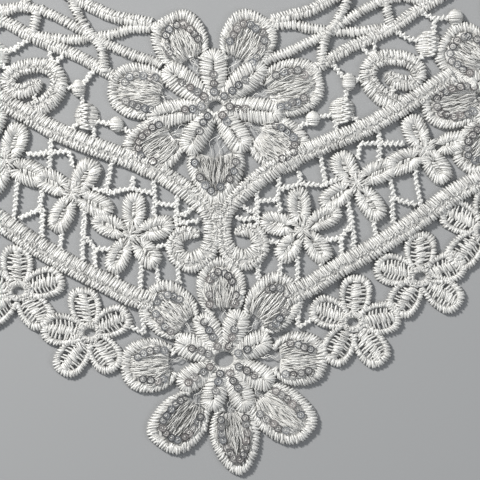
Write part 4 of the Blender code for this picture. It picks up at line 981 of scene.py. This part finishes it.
# ---------------------------------------------------------------- pieces
def big_flower(name, node, place, seed, head, petals, leaves, chains, leaf_sequins, flat, more=None, plain=(), painted_lit=(), painted_shaded=()):
    """plain names the petals and leaves that lie far from the front, which have fewer and thicker threads.

    The last two name the petals whose filling gets painted light and the petals whose filling gets painted shade, for
    how they lie to the light; on the first the sequins' painted rim shade is fainter.
    """
    cx, cy, hl, hh, off_x, off_y = head
    lace, seq = Lace(name, seed), Sequins(name + "_sequins", seed + 2)
    edge = []
    for k, row in enumerate(petals):
        far = k in plain
        lace.pitch = BACK_PITCH if far else TOOTH / 2
        # painted light on the filling of some petals and painted shade on others', for how they lie to the light
        painted_light_shift = 0.3 if k in painted_lit else -0.4 if k in painted_shaded else 0.0
        edge.append(big_petal(lace, place, cx, cy, row, height=1.85 + 0.15 * (k % 2), count=22 if far else 54, painted_light_shift=painted_light_shift))
        if not far:
            strays(lace, place, cx, cy, row[0], row[1] - 3.4, row[1] + 3.0, 3, spread=1.1)
    lace.pitch = TOOTH / 2
    hole_rim(lace, place, cx + off_x, cy + off_y, hl + 0.2, hh + 0.2, 3.0, high=2.0, count=90)
    for k, (angle, start, reach, width) in enumerate(leaves):
        lace.pitch = BACK_PITCH if k in plain and plain else TOOTH / 2
        two_lobed(lace, place, cx, cy, angle, start, reach, width, height=2.2 + 0.1 * (k % 3))
    lace.pitch = TOOTH / 2
    if more:
        more(lace, seq, place)
    for k, a, b in chains:
        # the sequins on petals with painted light get a fainter painted rim shade
        seq.chain(edge[k](3.8), a, b, strength=0.9 if k in painted_lit else 1.0)
    for k, count, gap in leaf_sequins:
        angle, start, reach, width = leaves[k]
        a = math.radians(angle)
        r = start + 2.2 + 2.9 * np.arange(count)
        seq.at(place(np.column_stack([cx + r * math.cos(a), cy + r * math.sin(a)])), height=2.2)
    sequins = seq.build(CLEAR, lace.over)
    lace.finish(node, flat, sequins)


def heart(lace, seq, place):
    outline = curve(HEART, 0.35)
    n = len(outline)
    inner = np.column_stack([outline[:, 0] * 0.68, 12.8 + (outline[:, 1] - 7.3) * 0.74])
    lace.satin(outline, inner, 1.95, "edge", ragged=0.6, reach=0.42, wobble=0.22)
    wide = np.column_stack([outline[:, 0] * 0.76, 11.6 + (outline[:, 1] - 7.3) * 0.8])
    spine = np.column_stack([np.zeros(n), np.clip(inner[:, 1], 15.0, 24.0)])
    # painted shade: the ground under the heart's filling gets a low tone, for the gaps between the threads and the
    # shade on the heart
    lace.base.ground(wide, spine, 1.02, "flat", step=1.9, trim=(0, 0), tone=0.35)
    # along the heart's own axis, from its ragged upper edge down to the tip
    to = lambda f: place(np.column_stack([f[:, 1], 26.6 - f[:, 0]]))
    half_at = lambda u: np.interp(u, [0, 4, 8, 11, 14], [6.9, 6.7, 5.4, 3.4, 1.0])
    # painted shade on the heart's filling
    filling(lace, to, 0.6, 13.6, half_at, 0.0, 14.0, 58, root=1.0, long=(2.8, 6.0), painted_light_shift=-0.5)
    strays(lace, place, 0.0, 24.5, 80, -0.5, 8.0, 3, spread=1.8)
    seq.at(HEART_CHAIN, 2.05)


def make_flowers():
    # the last keywords name the petals with painted light and painted shade on their filling
    big_flower("lace_neck_flower", "neck_flower", on_right, 101, NECK_FLOWER, NECK_PETALS, NECK_LEAVES, NECK_CHAINS, NECK_LEAF_SEQUINS, (0.074, 0.066), heart, painted_lit=(0, 2, 3))
    big_flower("lace_tip_flower", "tip_flower", on_right, 201, TIP_FLOWER, TIP_PETALS, TIP_LEAVES, TIP_CHAINS, TIP_LEAF_SEQUINS, (0.069, 0.074), painted_lit=(3, 7), painted_shaded=(4, 5))
    for side, place, seed in (("right", on_right, 301), ("left", on_left, 401)):
        big_flower(f"lace_side_flower_{side}", f"side_flower_{side}", place, seed, SIDE_FLOWER, SIDE_PETALS, SIDE_LEAVES, SIDE_CHAINS, SIDE_LEAF_SEQUINS, (0.06, 0.064), plain=(3, 4, 5, 6))


def along(rows, widths, step=0.4):
    """The line through the rows, and at each of its points the width that was given with the rows."""
    line = curve(rows, step)
    p = np.array(rows, float)
    near = ((line[:, None, :] - p[None, :, :]) ** 2).sum(-1).argmin(0)
    near = np.maximum.accumulate(near)
    return line, np.interp(np.arange(len(line)), near, widths)


def make_stem():
    lace = Lace("lace_stem_scroll", 501)
    line, width = along(HOOK, HOOK_WIDTHS)
    s = lengths(line) / lengths(line)[-1]
    high = np.interp(s, [0, 0.45, 0.6, 0.9, 1], [2.3, 2.2, 2.25, 2.0, 1.3])
    for place in (on_right, on_left):
        lace.padded(place, line, width - 0.15, high)
    # where the two halves lie against each other
    seam = np.column_stack([np.linspace(0.0, -0.4, 34), np.linspace(9.6, -4.2, 34)])
    half = np.column_stack([np.interp(seam[:, 1], [3.5, 6.9, 9.6], [1.3, 2.9, 0.5]), np.zeros(34)])
    lace.base.ground(seam - half, seam + half, 2.0, "cord", trim=(0, 0), gauge=0.5)
    lace.back_stitches(on_right, seam, 2 * half[:, 0] + 0.2, 2.3, 0.0, 1.0, 7, slope=(0.2, 0.8))
    lace.finish("stem_scroll", (0.046, 0.035))


def cord_piece(name, node, place, seed, line, width, height, pitch=TOOTH / 2, wide=True, fine_to=400.0):
    lace = Lace(name, seed, pitch)
    if wide:
        cut = int(np.argmax(line[:, 0] > fine_to)) or len(line) - 1
        lace.padded(place, line[: cut + 1], width, height)
        if cut < len(line) - 1:
            lace.pitch = BACK_PITCH
            lace.padded(place, line[cut:], width, height)
    else:
        lace.cord(place, line, width, height, step=1.5)
    total = lengths(line)[-1]
    lace.finish(node, (0.01, round(total / 1000, 3)))


def lattice_lines():
    neck = curve(NECK_ROWS + oval(NECK_OVAL, BACK_GAP + 2.0), 0.5)
    lower = curve(LOWER_ROWS + oval(LOWER_OVAL, BACK_GAP + 2.0), 0.5)
    return neck, lower


def make_cords():
    neck, lower = lattice_lines()
    inner = curve(INNER_ROWS, 0.5)
    inner = inner[inner[:, 0] > 28.0]
    outer = curve(OUTER_ROWS + oval(OUTER_OVAL, BACK_GAP + 2.0), 0.5)
    split_o = int(np.argmax((outer[:, 1] > 56) & (outer[:, 0] > 120)))
    split_l = int(np.argmax(lower[:, 1] > 86))
    for side, place, seed in (("right", on_right, 600), ("left", on_left, 700)):
        cord_piece(f"lace_inner_cord_front_{side}", f"inner_cord_front_{side}", place, seed + 1, inner, CORD_W - 0.3, CORD_H)
        cord_piece(f"lace_inner_cord_back_{side}", f"inner_cord_back_{side}", place, seed + 2, lower[split_l:], 5.4, CORD_H, BACK_PITCH, False)
        cord_piece(f"lace_outer_cord_front_{side}", f"outer_cord_front_{side}", place, seed + 3, outer[: split_o + 1], OUTER_CORD_W - 0.3, OUTER_CORD_H, fine_to=92.0)
        cord_piece(f"lace_outer_cord_back_{side}", f"outer_cord_back_{side}", place, seed + 4, outer[split_o:], 6.0, OUTER_CORD_H, BACK_PITCH, False)
        end = np.column_stack([np.full(60, BACK_GAP + 1.8), np.linspace(NECK_OVAL[0] + NECK_OVAL[2] - 1.5, BORDER_OVAL[0] + BORDER_OVAL[2] + 4.0, 60)])
        cord_piece(f"lace_back_end_bar_{side}", f"back_end_bar_{side}", place, seed + 5, end, 3.6, 1.8, BACK_PITCH, False)


def make_lattice():
    neck, lower = lattice_lines()
    sn, sl = int(np.argmax(neck[:, 0] > 60)), int(np.argmax(lower[:, 0] > 62))
    split_n, split_l = int(np.argmax(neck[:, 1] > 104)), int(np.argmax(lower[:, 1] > 86))

    def between(share, f):
        a = neck[int(round(sn + share * (len(neck) - 1 - sn)))]
        b = lower[int(round(sl + share * (len(lower) - 1 - sl)))]
        return tuple(a + (b - a) * f)

    turns = 2 * LATTICE_TURNS
    shares = [0.0] + [(k + 0.5) / turns for k in range(turns)] + [1.0]
    one = [between(s, 0.5 if s in (0.0, 1.0) else (0.03 if k % 2 else 0.97)) for k, s in enumerate(shares)]
    two = [between(s, 0.5 if s in (0.0, 1.0) else (0.97 if k % 2 else 0.03)) for k, s in enumerate(shares)]
    part = max(k for k, s in enumerate(shares) if s * (len(neck) - 1 - sn) + sn <= split_n)
    for side, place, seed in (("right", on_right, 800), ("left", on_left, 900)):
        front = Lace(f"lace_neck_lattice_front_{side}", seed)
        front.double(place, lower[: split_l + 1], 3.6, 1.8)
        front.double(place, neck[: split_n + 1], 3.6, 1.75)
        for rows, high in LATTICE:
            front.cord(place, rows, LATTICE_W, high, slant=0.45, reach=0.5, reach_in=0.5)
        back = Lace(f"lace_neck_lattice_back_{side}", seed + 1, BACK_PITCH)
        back.cord(place, neck[split_n:], EDGE_W, 1.8, step=2.0)
        for run, high in ((one, 1.6), (two, 1.9)):
            for k, (a, b) in enumerate(zip(run, run[1:])):
                line = np.linspace(a, b, 40)
                bow = left_of(line) * (0.9 * np.sin(math.pi * np.linspace(0, 1, 40)) * (1 if k % 2 else -1))[:, None]
                (front if k < part else back).cord(place, line + bow, LATTICE_W - 0.3, high, step=1.15 if k < part else 2.0)
        front.finish(f"neck_lattice_front_{side}", (0.026, 0.085))
        back.finish(f"neck_lattice_back_{side}", (0.029, 0.19))


def make_scrolls():
    for side, place, seed in (("right", on_right, 1000), ("left", on_left, 1100)):
        lace = Lace(f"lace_scroll_insert_{side}", seed)
        line, width = along(SCROLL, SCROLL_WIDTHS)
        s = lengths(line) / lengths(line)[-1]
        high = np.interp(s, [0, 0.1, 0.9, 1], [1.9, 2.2, 2.1, 1.5])
        lace.padded(place, line, width - 0.35, high)
        for x, y, w, h in DISCS:
            disc(lace, place, x, y, w, h)
        for x, y, w, h in KNOTS:
            knot(lace, place, x, y, w, h)
        for rows in BARS_UPPER:
            lace.over.bar(place, rows)
        lace.finish(f"scroll_insert_{side}", (0.024, 0.056))


def set_flower(x, y, turn, size, angles, off, length, width):
    rows = []
    for a in angles:
        t = math.radians(a + turn)
        rows.append((x + off * size * math.cos(t), y + off * size * math.sin(t), a + turn, length * size, width * size))
    return rows


def spaced(line, first, pitch, last_gap):
    s = lengths(line)
    span = s[-1] - first - last_gap
    count = int(round(span / pitch))
    t = np.gradient(line, axis=0)
    out = []
    for k in range(count + 1):
        want = first + span * k / count
        x, y = at_lengths(line, s, np.array([want]))[0]
        dx, dy = at_lengths(t, s, np.array([want]))[0]
        out.append((x, y, math.degrees(math.atan2(dy, dx)), want / s[-1]))
    return out


def make_middle():
    line = curve(oval(MIDDLE_OVAL, MIDDLE_LAST_X), 0.5)
    for side, place, seed in (("right", on_right, 1200), ("left", on_left, 1300)):
        lace = Lace(f"lace_middle_flowers_front_{side}", seed)
        for row in SMALL_FRONT:
            small_petal(lace, place, *row)
        for x, y, r in SMALL_CORES:
            flower_middle(lace, place, x, y, r, SMALL_ANGLES)
        for rows in BARS_MIDDLE:
            lace.over.bar(place, rows)
        lace.finish(f"middle_flowers_front_{side}", (0.03, 0.075))
        back = Lace(f"lace_middle_flowers_back_{side}", seed + 1, BACK_PITCH)
        back.over.bar(place, line, sides=4)
        ties = [tuple(line[-1])]
        for k in range(1, 7):
            a = math.radians(32 + 4.2 * k)
            form = INNER_TIE if k % 2 else OUTER_TIE
            ties.append((form[1] * math.cos(a), form[0] + form[2] * math.sin(a)))
        back.over.bar(place, ties, sides=4)
        for x, y, turn, share in spaced(line, 3.0, MIDDLE_PITCH - 3.0, 2.0):
            size = 0.80 - 0.26 * share
            for row in set_flower(x, y, turn, size, SMALL_ANGLES, 7.4, 14.0, 8.8):
                small_petal(back, place, *row, height=2.1)
            flower_middle(back, place, x, y, 2.8 * size, [a + turn for a in SMALL_ANGLES])
        back.finish(f"middle_flowers_back_{side}", (0.02, 0.17))


def make_border():
    line = curve(BORDER_ROWS + oval(BORDER_OVAL, BACK_GAP + 3.5), 0.5)
    places = spaced(line, math.dist(*BORDER_ROWS[:2]), BORDER_PITCH, 12.0)
    half = [i for i, p in enumerate(places) if p[1] > 50][0]
    for side, place, seed in (("right", on_right, 1400), ("left", on_left, 1500)):
        front = Lace(f"lace_border_front_{side}", seed)
        back = Lace(f"lace_border_back_{side}", seed + 1, BACK_PITCH)
        for (hx, hy), petals in BORDER_FRONT:
            for x, y, angle, length, width in petals:
                off = math.dist((x, y), (hx, hy))
                aim = math.degrees(math.atan2(y - hy, x - hx))
                ladder_petal(front, place, hx, hy, aim, 2.2, off + length / 2 - 0.3, width)
            hole_rim(front, place, hx, hy, 3.6, 2.5, 2.3, high=1.85, count=54)
        for rows in BARS_TIP:
            front.over.bar(place, rows)
        for k, (x, y, turn, share) in enumerate(places):
            size = 1.0 - 0.06 * min(1.0, k / 6.0)
            target = front if k < half else back
            if k == 1:
                front.pitch = BACK_PITCH
            for a in BORDER_ANGLES:
                ladder_petal(target, place, x, y, a + turn - 32.0, 2.2 * size, 16.0 * size, 10.8 * size)
            hole_rim(target, place, x, y, 3.5 * size, 2.4 * size, 2.3 * size, high=1.85, turn=turn, count=54 if k == 0 else 26)
        front.finish(f"border_front_{side}", (0.03, 0.16))
        back.finish(f"border_back_{side}", (0.03, 0.25))


# ---------------------------------------------------------------- surroundings
def make_stage():
    mesh = bpy.data.meshes.new("table")
    mesh.from_pydata([(-3, -3, 0), (3, -3, 0), (3, 3, 0), (-3, 3, 0)], [], [(0, 1, 2, 3)])
    floor = bpy.data.objects.new("table", mesh)
    floor.location.z = -0.00002
    bpy.context.scene.collection.objects.link(floor)
    mat = bpy.data.materials.new("pale_table")
    mat.use_nodes = True
    shader = mat.node_tree.nodes["Principled BSDF"]
    shader.inputs["Base Color"].default_value = (0.35, 0.355, 0.36, 1)
    shader.inputs["Roughness"].default_value = 0.9
    mesh.materials.append(mat)

    world = bpy.data.worlds.new("studio")
    world.use_nodes = True
    world.node_tree.nodes["Background"].inputs["Color"].default_value = (0.9, 0.95, 1.0, 1)
    world.node_tree.nodes["Background"].inputs["Strength"].default_value = 0.3
    bpy.context.scene.world = world

    def lamp(name, place, target, size, power, colour=(1, 1, 1)):
        data = bpy.data.lights.new(name, "AREA")
        data.shape, data.size, data.energy, data.color = "DISK", size, power, colour
        obj = bpy.data.objects.new(name, data)
        obj.location = place
        obj.rotation_euler = (Vector(target) - Vector(place)).to_track_quat("-Z", "Y").to_euler()
        bpy.context.scene.collection.objects.link(obj)

    lamp("key", (-0.62, 0.5, 0.62), (0, -0.08, 0), 0.16, 14.0, (1.0, 0.985, 0.96))
    lamp("fill", (0.7, -0.4, 0.6), (0, -0.08, 0), 0.5, 2.0, (0.97, 0.98, 1.0))


def make_camera():
    data = bpy.data.cameras.new("camera")
    distance = 0.62
    data.sensor_width = data.sensor_height = 36.0
    data.lens = 18.0 / (0.080 / distance)
    data.clip_start, data.clip_end = 0.01, 20.0
    obj = bpy.data.objects.new("camera", data)
    obj.location = (0.00723, (-3.56 - ORIGIN_Y) / 1000, distance + 0.0015)
    obj.rotation_euler = (0.0, 0.0, math.radians(-1.75))
    bpy.context.scene.collection.objects.link(obj)
    bpy.context.scene.camera = obj


make_stage()
make_camera()
make_flowers()
make_stem()
make_cords()
make_lattice()
make_scrolls()
make_middle()
make_border()
bpy.context.scene.view_settings.view_transform = "Standard"

print("triangles:", COUNTS)
print("triangles in all:", TOTAL[0], "largest piece:", max(COUNTS.values()))
